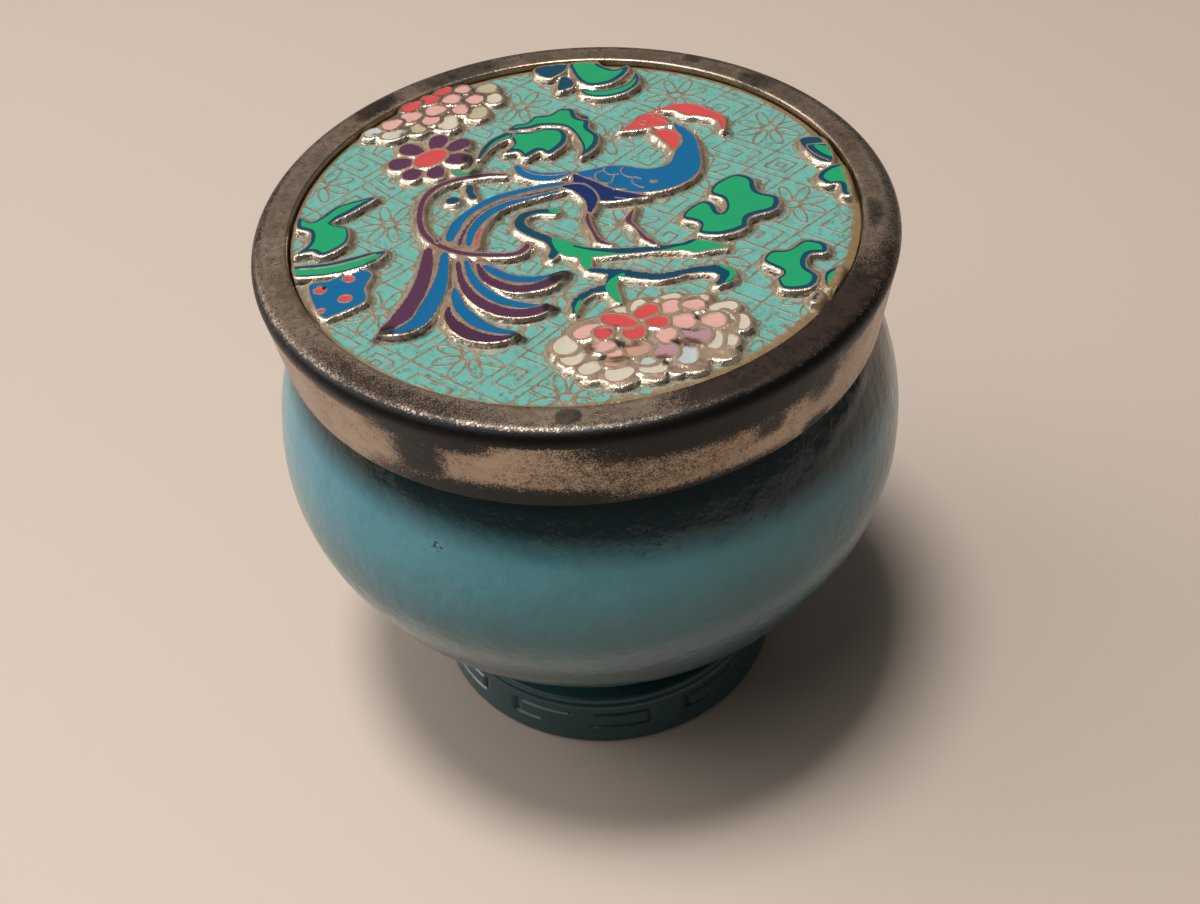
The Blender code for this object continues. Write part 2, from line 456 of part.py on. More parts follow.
def relief_lines(figures):
    """Points and edges along the top and the foot of every figure's slope, where they show."""
    points, edges = [], []
    limit = PLAQUE_RADIUS - RELIEF_SLOPE / 2
    for index, (outline, rise) in enumerate(figures):
        foot, valid = outward(outline, RELIEF_SLOPE)
        others_top = relief_height(outline, figures, index)
        others_foot = relief_height(foot, figures, index)
        shown_foot = valid & (others_foot < rise * HIDDEN_FOOT_SHARE)
        for line, keep in ((outline, others_top < rise), (foot, shown_foot)):
            keep &= np.linalg.norm(line, axis=1) < limit
            numbers = {}
            for place in np.flatnonzero(keep):
                numbers[place] = len(points)
                points.append(line[place])
            for place, number in numbers.items():
                following = numbers.get((place + 1) % len(line))
                if following is not None:
                    edges.append((number, following))
    return points, edges


def make_lid_plaque():
    figures = picture_figures(OUTLINE_STEP / DRAWING_UNIT)
    angles = np.arange(PLAQUE_STEPS) * math.tau / PLAQUE_STEPS
    border = PLAQUE_RADIUS * np.stack([np.cos(angles), np.sin(angles)], 1)
    points, edges = relief_lines(figures)
    edges = [(a + PLAQUE_STEPS, b + PLAQUE_STEPS) for a, b in edges]
    edges += [(step, (step + 1) % PLAQUE_STEPS) for step in range(PLAQUE_STEPS)]
    flat = [Vector((x, y)) for x, y in np.vstack([border, points])]
    places, _, triangles, sources, _, _ = delaunay_2d_cdt(flat, edges, [], 0, 1e-6)
    places = np.array([tuple(place) for place in places])
    heights = relief_height(places, figures)

    shape = bmesh.new()
    top = [shape.verts.new((x, y, PLAQUE_GROUND + rise)) for (x, y), rise in zip(places, heights)]
    for triangle in triangles:
        shape.faces.new([top[corner] for corner in triangle])
    found_at = {source: number for number, found in enumerate(sources) for source in found}
    rim = [top[found_at[step]] for step in range(PLAQUE_STEPS)]
    low = [shape.verts.new((vertex.co.x, vertex.co.y, PLAQUE_BOTTOM)) for vertex in rim]
    for step in range(PLAQUE_STEPS):
        after = (step + 1) % PLAQUE_STEPS
        shape.faces.new((rim[step], rim[after], low[after], low[step]))
    shape.faces.new(low)
    bmesh.ops.recalc_face_normals(shape, faces=shape.faces[:])
    bmesh.ops.triangulate(shape, faces=shape.faces[:])
    mesh = bpy.data.meshes.new("lid_plaque")
    shape.to_mesh(mesh)
    shape.free()
    enamel = make_material("turquoise_enamel", (0.18, 0.46, 0.39), 0.35, 0.0)
    return add_object("lid_plaque", mesh, enamel, PLAQUE_SHARP_ANGLE)


clear_scene()
make_jar()
make_lid_rim()
make_lid_plaque()
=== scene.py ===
"""Looks of the footed enamel jar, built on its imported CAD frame. Lengths in the drawing are millimetres."""

import math

import bmesh
import bpy
import numpy as np
from mathutils import Matrix, Vector, kdtree, noise
from mathutils.geometry import delaunay_2d_cdt


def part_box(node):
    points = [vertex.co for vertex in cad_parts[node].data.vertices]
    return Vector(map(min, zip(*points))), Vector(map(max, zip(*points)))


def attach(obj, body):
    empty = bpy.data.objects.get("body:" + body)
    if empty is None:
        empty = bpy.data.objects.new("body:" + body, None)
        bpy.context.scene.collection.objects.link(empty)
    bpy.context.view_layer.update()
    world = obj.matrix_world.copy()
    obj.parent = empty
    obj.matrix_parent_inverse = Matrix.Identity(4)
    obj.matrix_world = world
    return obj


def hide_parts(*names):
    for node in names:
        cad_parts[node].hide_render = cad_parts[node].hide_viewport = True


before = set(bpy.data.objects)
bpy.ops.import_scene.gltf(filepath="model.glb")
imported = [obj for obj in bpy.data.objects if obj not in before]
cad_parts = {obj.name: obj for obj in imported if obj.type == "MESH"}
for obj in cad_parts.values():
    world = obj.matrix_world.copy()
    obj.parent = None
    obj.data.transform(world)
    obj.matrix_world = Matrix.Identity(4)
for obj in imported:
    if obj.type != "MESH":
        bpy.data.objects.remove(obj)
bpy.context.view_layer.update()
MM = 0.001

# Sizes of the pieces, read from the CAD nodes
plaque_low, plaque_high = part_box("lid_plaque")
jar_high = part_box("jar_body")[1]
rim_low, rim_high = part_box("lid_rim")
PLAQUE_RADIUS = plaque_high.x / MM
PLAQUE_BOTTOM = plaque_low.z / MM
BELLY_RADIUS = jar_high.x / MM
MOUTH_TOP = jar_high.z / MM
LID_RADIUS = rim_high.x / MM
LID_TOP = rim_high.z / MM
SKIRT_BOTTOM = rim_low.z / MM

# The picture's relief: width of its slopes, step between the points of an outline, thickness of the disc,
# distance given to points that nothing is near, rises, and half widths of the ground's wires
SLOPE = 0.65
STEP = 0.28
PLAQUE_THICKNESS = 0.8
FAR = 9.0
BIRD_RISE, TAIL_RISE, LEAF_RISE, TWIG_RISE, FLOWER_RISE, PETAL_STEP = 0.75, 0.70, 0.80, 0.55, 0.60, 0.12
LINE_HALF, LINE_REACH = 0.115, 0.26
PLAQUE_GROUND = PLAQUE_BOTTOM + PLAQUE_THICKNESS


def srgb(red, green, blue):
    """A colour given as it shows on screen, 0 to 255, in linear values."""
    values = []
    for channel in (red, green, blue):
        share = channel / 255
        values.append(share / 12.92 if share <= 0.04045 else ((share + 0.055) / 1.055) ** 2.4)
    return tuple(values)


TURQUOISE = srgb(104, 170, 160)
GREEN = srgb(26, 150, 98)
NAVY = srgb(0, 64, 88)
DEEP_NAVY = srgb(16, 38, 92)
BLUE = srgb(0, 94, 142)
PURPLE = srgb(84, 46, 74)
CORAL = srgb(198, 72, 72)
PINK = srgb(210, 160, 150)
OFF_WHITE = srgb(198, 188, 170)
OLIVE = srgb(176, 166, 136)
MAUVE = srgb(168, 130, 138)
TAN_PINK = srgb(186, 142, 122)
COOL_WHITE = srgb(178, 186, 184)
BLACK = srgb(20, 18, 18)
BROWN = srgb(74, 50, 34)
GOLD = srgb(112, 90, 56)


# Outlines

def smooth_line(points, joined, step):
    """Points a step apart along a Catmull-Rom curve through the given points."""
    knots = [np.array(point, float) for point in points]
    count = len(knots)
    line = []
    for span in range(count if joined else count - 1):
        if joined:
            a, b, c, d = (knots[(span + shift) % count] for shift in (-1, 0, 1, 2))
        else:
            b, c = knots[span], knots[span + 1]
            a = knots[span - 1] if span else 2 * b - c
            d = knots[span + 2] if span + 2 < count else 2 * c - b
        pieces = max(1, round(float(np.linalg.norm(c - b)) / step))
        for piece in range(pieces):
            t = piece / pieces
            line.append(0.5 * (2 * b + (c - a) * t + (2 * a - 5 * b + 4 * c - d) * t ** 2
                               + (3 * b - a - 3 * c + d) * t ** 3))
    if not joined:
        line.append(knots[-1])
    return np.array(line)


def stroke(points, widths, step=STEP):
    """Outline of a brush stroke along a curve, its width changing from point to point."""
    if isinstance(widths, (int, float)):
        widths = [widths] * len(points)
    tagged = [(*point, width) for point, width in zip(points, widths)]
    line = smooth_line(tagged, False, step)
    centre, half = line[:, :2], np.maximum(line[:, 2], 0.1) / 2
    along = np.gradient(centre, axis=0)
    along /= np.linalg.norm(along, axis=1)[:, None]
    side = np.stack([-along[:, 1], along[:, 0]], 1)
    left = centre + side * half[:, None]
    right = centre - side * half[:, None]
    first = centre[0] - along[0] * half[0]
    last = centre[-1] + along[-1] * half[-1]
    return np.vstack([left, last, right[::-1], first])


def oval(centre, long_radius, short_radius, turn=0.0, step=STEP):
    """Outline of an oval, turned by an angle in degrees."""
    around = max(9, round(math.pi * (long_radius + short_radius) / step))
    angles = np.arange(around) * math.tau / around
    across = np.stack([long_radius * np.cos(angles), short_radius * np.sin(angles)], 1)
    cosine, sine = math.cos(math.radians(turn)), math.sin(math.radians(turn))
    return across @ np.array([[cosine, sine], [-sine, cosine]]) + np.array(centre)


def closed(points):
    """Outline through the given points, joined end to end."""
    return smooth_line(points, True, STEP)


def bird():
    """Outlines of the bird, from its body to its legs, each with its colour."""
    body = stroke([(0.8, 7.7), (2.2, 7.0), (4.9, 6.1), (9.6, 4.7), (13.4, 6.4), (14.5, 10.4), (14.6, 13.6),
                   (13.5, 16.5)], [0.4, 2.4, 5.0, 5.0, 4.3, 3.1, 2.1, 0.5])
    throat = stroke([(10.9, 15.0), (12.4, 14.0), (12.9, 12.3), (12.7, 10.4)], [1.2, 2.6, 2.0, 0.3])
    head = stroke([(6.5, 15.8), (8.6, 16.6), (10.6, 17.6), (12.4, 16.7)], [0.3, 1.9, 3.6, 1.6])
    crest = stroke([(10.8, 19.7), (12.4, 20.0), (14.2, 20.1), (15.9, 19.3), (17.4, 18.4), (19.1, 17.0),
                    (19.4, 14.3)], [0.3, 0.7, 1.9, 3.0, 2.0, 1.4, 0.4])
    wing = stroke([(0.4, 7.3), (1.6, 4.9), (4.0, 2.6), (8.9, 1.5)], [0.5, 2.7, 2.9, 0.3])
    thigh = stroke([(-1.0, 5.0), (1.0, 4.2), (2.2, 1.9), (1.9, -0.8)], [0.7, 2.0, 1.8, 0.7])
    back_plume = stroke([(-6.5, 10.0), (-5.6, 8.6), (-3.8, 7.4), (-1.8, 7.2), (0.1, 7.7)],
                        [0.9, 1.7, 1.9, 1.7, 0.8])
    near_leg = stroke([(1.6, -0.9), (1.6, -2.5), (2.2, -5.0), (2.7, -6.4), (4.0, -7.3)],
                      [0.6, 0.75, 0.65, 0.9, 0.4])
    far_leg = stroke([(7.3, -0.4), (6.5, -2.1), (6.3, -3.1), (7.0, -4.4), (7.8, -6.4), (9.0, -7.8)],
                     [0.2, 0.8, 0.9, 0.5, 0.8, 0.7])
    colours = [BLUE, CORAL, CORAL, CORAL, DEEP_NAVY, DEEP_NAVY, BLUE, PURPLE, PURPLE]
    return list(zip([body, throat, head, crest, wing, thigh, back_plume, near_leg, far_leg], colours))


def tail():
    """Outlines of the tail and the scroll. Those without a colour get it in picture_cells."""
    fan = stroke([(-0.6, 5.1), (-4.4, 4.4), (-8.4, 3.1), (-11.0, 0.8), (-12.7, -2.0), (-13.1, -5.2)],
                 [1.8, 2.5, 2.8, 3.4, 4.2, 4.0])
    long_feather = stroke([(-16.1, -5.3), (-16.3, -9.0), (-16.8, -12.5), (-17.9, -15.6), (-19.3, -17.9),
                           (-21.4, -19.2)], [2.7, 3.4, 3.9, 4.2, 3.9, 1.6])
    upper_plume = stroke([(-11.0, -8.3), (-10.2, -10.4), (-8.2, -12.4), (-5.6, -13.2), (-3.2, -12.7),
                          (-1.6, -11.6)], [1.2, 2.4, 2.7, 2.7, 2.2, 0.8])
    middle_plume = stroke([(-13.1, -7.8), (-12.7, -10.6), (-11.7, -13.3), (-10.1, -15.5), (-8.1, -17.0),
                           (-5.8, -17.6), (-3.7, -17.4)], [1.6, 2.2, 2.6, 2.8, 2.8, 2.3, 1.2])
    lower_plume = stroke([(-14.0, -13.0), (-14.0, -16.0), (-13.2, -18.2), (-11.7, -20.2), (-9.6, -21.3),
                          (-7.5, -21.5)], [0.9, 2.4, 3.2, 3.3, 2.4, 1.0])
    scroll = stroke([(-7.7, 8.5), (-10.5, 8.8), (-13.5, 8.4), (-16.0, 7.2), (-17.6, 5.0), (-18.1, 2.2),
                     (-17.9, -0.8), (-16.9, -3.2), (-14.9, -5.3), (-12.6, -6.6), (-9.5, -7.3), (-7.0, -7.4),
                     (-5.7, -6.4), (-5.6, -5.6)], [0.6] + 12 * [0.95] + [0.8])
    return [(fan, None), (long_feather, None), (upper_plume, None), (middle_plume, None),
            (lower_plume, None), (scroll, PURPLE)]


def leaves():
    """Outlines of the leaves, which have a navy edge."""
    crown = closed([(-7.4, 17.9), (-6.4, 19.2), (-4.9, 19.5), (-3.8, 20.8), (-1.9, 20.9), (-0.6, 22.0),
                    (1.1, 21.7), (1.6, 19.7), (3.0, 18.7), (2.9, 17.1), (4.0, 15.0), (3.4, 12.6),
                    (1.5, 10.9), (1.7, 13.2), (0.2, 17.3), (-2.8, 18.4), (-4.6, 17.9)])
    lobe = closed([(-7.5, 17.4), (-4.4, 17.3), (-2.4, 17.8), (-0.3, 17.0), (-0.1, 14.4), (-2.2, 11.9),
                   (-3.5, 12.8), (-5.2, 11.6), (-6.2, 13.0), (-7.9, 13.0), (-6.7, 15.0)])
    arm = stroke([(-11.1, 12.2), (-10.3, 14.2), (-9.0, 15.9), (-7.2, 17.0)], [0.6, 1.0, 1.3, 1.5])
    three_lobed = closed([(12.5, -3.5), (13.2, -1.8), (15.2, -0.4), (16.4, -1.2), (16.9, -3.0),
                          (17.6, -2.4), (17.6, -0.5), (16.2, 0.9), (17.0, 2.8), (19.6, 4.4), (21.6, 3.2),
                          (21.9, 0.6), (24.0, -0.9), (23.4, -3.3), (20.3, -4.4), (19.5, -6.3), (16.6, -7.3),
                          (14.1, -6.6), (14.3, -4.8)])
    hooked = closed([(20.6, -12.8), (21.7, -11.0), (23.7, -10.9), (25.8, -9.5), (27.9, -10.4),
                     (27.8, -12.1), (25.9, -12.3), (25.2, -14.2), (26.2, -16.2), (25.0, -18.1),
                     (22.2, -18.0), (21.6, -16.1), (22.4, -14.9)])
    edge_upper = closed([(28.2, 10.4), (30.9, 10.7), (31.7, 8.0), (31.4, 5.2), (29.6, 6.1)])
    edge_lower = closed([(32.6, 4.3), (30.4, 4.1), (29.1, 2.4), (30.0, 0.8), (31.4, 0.6), (31.4, -1.3),
                         (32.6, -1.5)])
    edge_slip = stroke([(28.8, -14.9), (27.7, -16.2), (27.2, -18.1)], [0.8, 1.8, 1.3])
    edge_bud = stroke([(25.8, -19.1), (25.0, -20.3)], [1.0, 1.0])
    top_round = closed([(1.3, 33.0), (1.4, 30.6), (2.3, 28.1), (3.8, 26.8), (6.4, 27.2), (8.5, 29.3),
                        (8.8, 31.1), (6.9, 30.5), (5.2, 32.0), (4.6, 33.2)])
    top_crescent = stroke([(2.5, 26.0), (3.6, 25.1), (5.6, 24.8), (8.0, 25.5), (9.5, 27.3), (9.7, 29.2)],
                          [0.9, 1.6, 1.8, 1.6, 1.2, 0.4])
    top_small = closed([(0.2, 29.9), (1.4, 28.6), (1.4, 27.1), (-0.6, 26.3), (-0.6, 28.3)])
    top_dark = closed([(-3.2, 32.6), (-3.3, 31.0), (-1.6, 29.6), (0.5, 31.2), (0.6, 33.0)])
    left_leaf = closed([(-32.5, 3.1), (-31.0, 2.1), (-29.8, 2.9), (-27.8, 4.9), (-23.3, 6.1), (-26.0, 3.4),
                        (-28.4, 1.4), (-26.5, 0.2), (-26.5, -2.8), (-29.0, -4.8), (-30.6, -3.9),
                        (-32.4, -4.3), (-31.0, -2.4), (-31.0, -0.2), (-32.6, 1.0)])
    striped = stroke([(-32.4, -7.4), (-28.5, -7.4), (-25.6, -6.7), (-23.3, -5.8), (-21.9, -5.0)],
                     [2.2, 2.4, 2.4, 1.9, 0.6])
    drawn = [crown, lobe, arm, three_lobed, hooked, edge_upper, edge_lower, edge_slip, edge_bud,
             top_round, top_crescent, top_small, top_dark, left_leaf, striped]
    return [(outline, NAVY) for outline in drawn]


# How far the green of each leaf lies inside its navy edge, and the way it is shifted
LEAF_EDGES = [(0.58, (-0.2, 0.12)), (0.6, (-0.22, 0.2)), (0.5, (0.14, -0.2)), (0.6, (-0.16, 0.14)),
              (0.56, (-0.16, 0.12)), (0, (0, 0)), (0.5, (0.24, 0.0)), (0.46, (0.2, -0.12)), (0, (0, 0)),
              (0.62, (-0.1, 0.16)), (0.44, (-0.08, 0.1)), (0, (0, 0)), (0, (0, 0)), (0.5, (0.08, 0.14)),
              (0.5, (0.1, -0.12))]


def twigs():
    """Outlines of the twigs, each with its colour."""
    curl = stroke([(-2.0, 0.3), (-4.2, 0.6), (-6.0, -0.2), (-6.3, -1.9), (-5.0, -3.6), (-3.2, -5.1),
                   (-2.4, -6.8), (-3.0, -8.6)], [1.2, 1.1, 1.3, 1.5, 1.4, 1.4, 1.5, 1.0])
    perch = stroke([(-2.4, -5.2), (-1.0, -7.0), (1.2, -8.1), (5.0, -8.4), (9.5, -8.5), (12.0, -8.6),
                    (13.6, -8.6), (17.0, -9.2)], [1.0, 2.4, 1.9, 1.1, 1.0, 1.4, 2.4, 0.4])
    drop = stroke([(0.9, -8.2), (0.9, -9.7), (1.2, -11.2)], [1.4, 1.4, 0.7])
    low_branch = stroke([(1.3, -11.4), (4.6, -12.3), (8.9, -13.6), (12.4, -13.0), (15.3, -13.1),
                         (16.4, -14.4), (15.0, -15.8)], [0.7, 1.3, 1.2, 1.0, 1.5, 1.9, 0.6])
    stem = stroke([(3.6, -12.8), (3.3, -14.6), (1.2, -15.2), (-0.4, -16.6), (-0.9, -18.6)],
                  [1.2, 1.4, 0.9, 1.1, 0.6])
    spur = stroke([(3.4, -14.8), (4.1, -17.3)], [1.3, 0.7])
    small_branch = stroke([(-12.3, 7.2), (-12.1, 5.3), (-11.6, 4.2)], [0.9, 1.0, 0.8])
    small_bud = oval((-14.2, 4.2), 0.9, 0.7)
    hook = stroke([(-14.3, 10.7), (-13.4, 9.6), (-11.8, 9.7), (-11.3, 11.0)], [0.7, 0.8, 0.8, 0.5])
    return [(curl, NAVY), (perch, GREEN), (drop, GREEN), (low_branch, NAVY), (stem, NAVY), (spur, GREEN),
            (small_branch, NAVY), (small_bud, NAVY), (hook, GREEN)]


# Petals of the flowers, from the outer layer inwards: colour, place, long and short radius, turn
DAISY = [(PURPLE, -16.2, 16.9, 1.9, 1.25, 72), (PURPLE, -13.7, 15.9, 1.9, 1.2, 38),
         (PURPLE, -13.9, 13.0, 1.8, 1.3, 0), (PURPLE, -16.3, 10.5, 1.5, 1.2, 78),
         (PURPLE, -19.2, 10.5, 1.5, 1.25, 50), (PURPLE, -20.7, 12.9, 1.7, 1.35, 10),
         (PURPLE, -19.4, 15.7, 1.8, 1.35, -28)]
LOW_BARE = [(None, 7.1, -18.1, 1.0, 0.9, 0), (None, 10.9, -17.9, 0.9, 0.8, 0),
            (None, -2.3, -24.9, 1.3, 0.9, 20), (None, -1.0, -27.1, 1.5, 0.9, 15),
            (None, 1.0, -29.0, 1.5, 0.8, 15), (None, 3.6, -30.2, 1.6, 0.8, 10),
            (None, 6.8, -29.8, 1.2, 0.8, 0), (None, 9.2, -29.2, 0.9, 0.8, 0),
            (None, 11.2, -29.0, 1.3, 0.9, 20), (None, 14.5, -27.5, 1.2, 0.9, 20)]
LOW_OUTER = [(OFF_WHITE, 9.0, -18.2, 2.0, 0.85, 22), (OFF_WHITE, 12.2, -18.4, 1.7, 0.7, 8),
             (OFF_WHITE, 15.1, -20.0, 1.7, 0.8, 5), (OFF_WHITE, 16.6, -22.7, 1.1, 1.2, 0),
             (OFF_WHITE, 15.0, -25.8, 1.3, 0.9, 60), (COOL_WHITE, 10.6, -27.2, 1.5, 1.2, 65),
             (OFF_WHITE, 6.7, -28.9, 1.6, 0.8, 0), (OFF_WHITE, 3.3, -29.2, 1.6, 1.1, 12),
             (OFF_WHITE, 0.4, -28.0, 1.4, 0.9, 18), (OFF_WHITE, -1.3, -26.0, 1.5, 1.2, 35),
             (OFF_WHITE, -2.0, -24.0, 1.6, 1.3, 75), (OFF_WHITE, 0.6, -20.9, 2.3, 0.6, 22),
             (OFF_WHITE, 3.9, -19.4, 1.7, 0.75, 20), (OFF_WHITE, 6.0, -18.6, 1.1, 0.7, 50),
             (COOL_WHITE, 6.1, -27.5, 1.2, 0.75, 0), (COOL_WHITE, 15.4, -21.9, 1.3, 0.7, -75),
             (OFF_WHITE, 13.7, -25.2, 1.6, 0.85, 75)]
LOW_MIDDLE = [(PINK, 9.3, -19.5, 1.5, 1.0, 20), (PINK, 12.0, -19.4, 1.25, 0.9, -12),
              (PINK, 13.8, -22.2, 1.45, 1.2, -8), (MAUVE, 11.8, -24.2, 1.6, 1.25, -30),
              (MAUVE, 8.3, -26.4, 1.3, 1.2, 20), (TAN_PINK, 5.4, -25.7, 1.5, 1.25, 0),
              (TAN_PINK, 3.0, -27.4, 1.3, 0.8, 0), (PINK, 2.9, -26.0, 1.0, 0.8, -30),
              (PINK, 1.9, -24.9, 1.3, 0.9, 0), (PINK, 0.4, -22.2, 1.7, 0.95, 25),
              (PINK, 8.6, -23.9, 1.15, 1.25, -20), (PINK, 10.6, -21.9, 1.5, 1.15, -8)]
LOW_INNER = [(CORAL, 6.8, -20.0, 1.55, 0.9, 32), (CORAL, 7.9, -21.8, 1.2, 0.85, 0),
             (CORAL, 5.4, -23.0, 1.3, 1.1, 60), (CORAL, 2.1, -22.9, 1.0, 0.85, 20),
             (CORAL, 3.9, -21.1, 2.0, 0.95, -22)]
RIM_OUTER = [(OLIVE, -10.1, 28.4, 1.5, 1.0, 8), (OFF_WHITE, -9.2, 25.9, 1.2, 1.05, 0),
             (OLIVE, -11.1, 22.9, 1.5, 1.2, 70), (OFF_WHITE, -14.9, 21.2, 1.7, 1.35, 70),
             (OLIVE, -18.5, 20.4, 1.3, 1.1, 30), (OFF_WHITE, -21.7, 19.5, 1.7, 1.0, 12),
             (COOL_WHITE, -24.3, 20.3, 1.3, 0.8, 30)]
RIM_MIDDLE = [(PINK, -11.6, 25.9, 1.25, 1.15, 0), (PINK, -13.4, 23.8, 1.1, 1.25, 0),
              (PINK, -17.1, 21.9, 1.2, 1.15, 0), (PINK, -19.6, 23.1, 1.5, 1.25, 20),
              (PINK, -22.0, 21.6, 1.4, 1.05, 30), (PINK, -16.5, 24.1, 1.45, 1.2, 8)]
RIM_INNER = [(PINK, -13.2, 28.3, 1.15, 0.95, 0), (PINK, -14.6, 26.2, 1.4, 1.15, 0),
             (CORAL, -15.7, 28.2, 1.3, 0.7, 30), (CORAL, -17.3, 26.5, 1.2, 0.95, 5),
             (CORAL, -19.6, 25.3, 1.45, 0.85, 36)]


def petals(table, heart, grow=0.25):
    """Egg-shaped petals whose broad end points away from the heart of the flower."""
    shapes = []
    for colour, x, y, long_radius, short_radius, turn in table:
        cosine, sine = math.cos(math.radians(turn)), math.sin(math.radians(turn))
        outward = math.copysign(1.0, (x - heart[0]) * cosine + (y - heart[1]) * sine)
        around = max(12, round(math.pi * (long_radius + short_radius + 2 * grow) / STEP))
        angles = np.arange(around) * math.tau / around
        along = (long_radius + grow) * np.cos(angles)
        across = (short_radius + grow) * np.sin(angles) * (1 + 0.2 * outward * np.cos(angles))
        outline = np.stack([x + along * cosine - across * sine, y + along * sine + across * cosine], 1)
        shapes.append((outline, colour))
    return shapes


def flowers():
    """Flower figures in layers, each one petal step higher than the one before it."""
    blue_bloom = closed([(-30.4, -9.8), (-27.9, -9.2), (-25.4, -7.5), (-23.3, -8.6), (-23.9, -11.2),
                         (-23.8, -13.6), (-27.0, -15.6), (-28.3, -16.0), (-29.6, -13.6)])
    mounds = [(oval((6.9, -24.0), 9.4, 5.2), None), (oval((-16.4, 24.0), 7.4, 3.6, 32), None)]
    low, rim = (6.0, -22.5), (-16.5, 29.0)
    return [petals(DAISY, (-17.0, 13.4), 0.0) + [(blue_bloom, BLUE)] + mounds + petals(LOW_BARE, low, 0.0),
            petals(LOW_OUTER, low) + petals(RIM_OUTER, rim) + [(oval((-17.0, 13.4), 2.5, 1.65, 38), CORAL)],
            petals(LOW_MIDDLE, low) + petals(RIM_MIDDLE, rim),
            petals(LOW_INNER, low) + petals(RIM_INNER, rim)]


def picture_figures():
    """Every raised figure as (outline, rise, colour), the lowest ones first."""
    figures = [(outline, TWIG_RISE, colour) for outline, colour in twigs()]
    for layer, members in enumerate(flowers()):
        figures += [(outline, FLOWER_RISE + layer * PETAL_STEP, colour) for outline, colour in members]
    for draw, rise in ((tail, TAIL_RISE), (bird, BIRD_RISE), (leaves, LEAF_RISE)):
        figures += [(outline, rise, colour) for outline, colour in draw()]
    return figures


# Distances

def signed_distance(points, outline):
    """Distance from each point to a closed outline, positive inside it."""
    result = np.empty(len(points))
    along = np.roll(outline, -1, axis=0) - outline
    squared = np.maximum((along ** 2).sum(1), 1e-12)
    end_y = outline[:, 1] + along[:, 1]
    height = np.where(along[:, 1] == 0, 1e-12, along[:, 1])
    for first in range(0, len(points), 4000):
        part = points[first:first + 4000]
        off_x = part[:, :1] - outline[:, 0]
        off_y = part[:, 1:2] - outline[:, 1]
        share = np.clip((off_x * along[:, 0] + off_y * along[:, 1]) / squared, 0, 1)
        gap = np.sqrt(((off_x - share * along[:, 0]) ** 2 + (off_y - share * along[:, 1]) ** 2).min(1))
        spans = (outline[:, 1] > part[:, 1:2]) != (end_y > part[:, 1:2])
        inside = (spans & (off_x < off_y * along[:, 0] / height)).sum(1) % 2 == 1
        result[first:first + 4000] = np.where(inside, gap, -gap)
    return result


def near_distance(points, outline, reach):
    """Signed distance where a point is within reach of the outline's box, and minus reach elsewhere."""
    low, high = outline.min(0) - reach, outline.max(0) + reach
    near = np.all((points > low) & (points < high), axis=1)
    distance = np.full(len(points), -float(reach))
    if near.any():
        distance[near] = signed_distance(points[near], outline)
    return distance


def slope_share(distance):
    """Share of the full rise that a slope has at a distance from its outline."""
    share = np.clip(1 + distance / SLOPE, 0, 1)
    return 0.4 * share + 0.6 * share * share * (3 - 2 * share)


def relief(points, figures, left_out=None):
    """Height of the relief at each point, the owner's distance, and the distance to the nearest figure."""
    height = np.zeros(len(points))
    own = np.full(len(points), -FAR)
    nearest = np.full(len(points), -FAR)
    for index, (outline, rise, _) in enumerate(figures):
        if index == left_out:
            continue
        distance = near_distance(points, outline, 1.2)
        level = rise * slope_share(distance)
        higher = (level > height) | ((level == height) & (level > 0))
        own = np.where(higher, distance, own)
        height = np.maximum(height, level)
        nearest = np.maximum(nearest, distance)
    return height, own, nearest


def moved_line(outline, reach, shift=(0.0, 0.0)):
    """The outline moved outwards, or inwards if reach is negative, and which of its points are sound."""
    ahead = np.roll(outline, -1, axis=0) - np.roll(outline, 1, axis=0)
    ahead /= np.maximum(np.linalg.norm(ahead, axis=1), 1e-9)[:, None]
    x, y = outline.T
    turn = np.sign(np.sum(x * np.roll(y, -1) - np.roll(x, -1) * y))
    moved = outline + turn * reach * np.stack([ahead[:, 1], -ahead[:, 0]], 1)
    distance = signed_distance(moved, outline)
    sound = -distance * np.sign(reach) > 0.9 * abs(reach)
    return moved + np.array(shift), sound


class Plan:
    """Points and edges that the triangles of the plaque's top follow."""

    def __init__(self):
        self.points = []
        self.edges = []

    def add(self, line, keep, closed_line=True):
        """Add the points of a line that are kept, and join neighbours."""
        keep = keep & (np.linalg.norm(line, axis=1) < PLAQUE_RADIUS - 0.12)
        numbers = {}
        for place in np.flatnonzero(keep):
            numbers[place] = len(self.points)
            self.points.append(line[place])
        for place, number in numbers.items():
            following = place + 1
            if closed_line:
                following %= len(line)
            if following in numbers:
                self.edges.append((number, numbers[following]))


# Enamel cells on top of the figures

def make_cell(outline, inset, shift, colour, border=0.0, hatch=0.0, spine=None):
    """A cell of enamel, inset from an outline, with its colour, metal border and hatching along a spine."""
    return {"outline": outline + np.array(shift), "inset": inset, "colour": colour, "border": border,
            "hatch": hatch, "spine": spine}


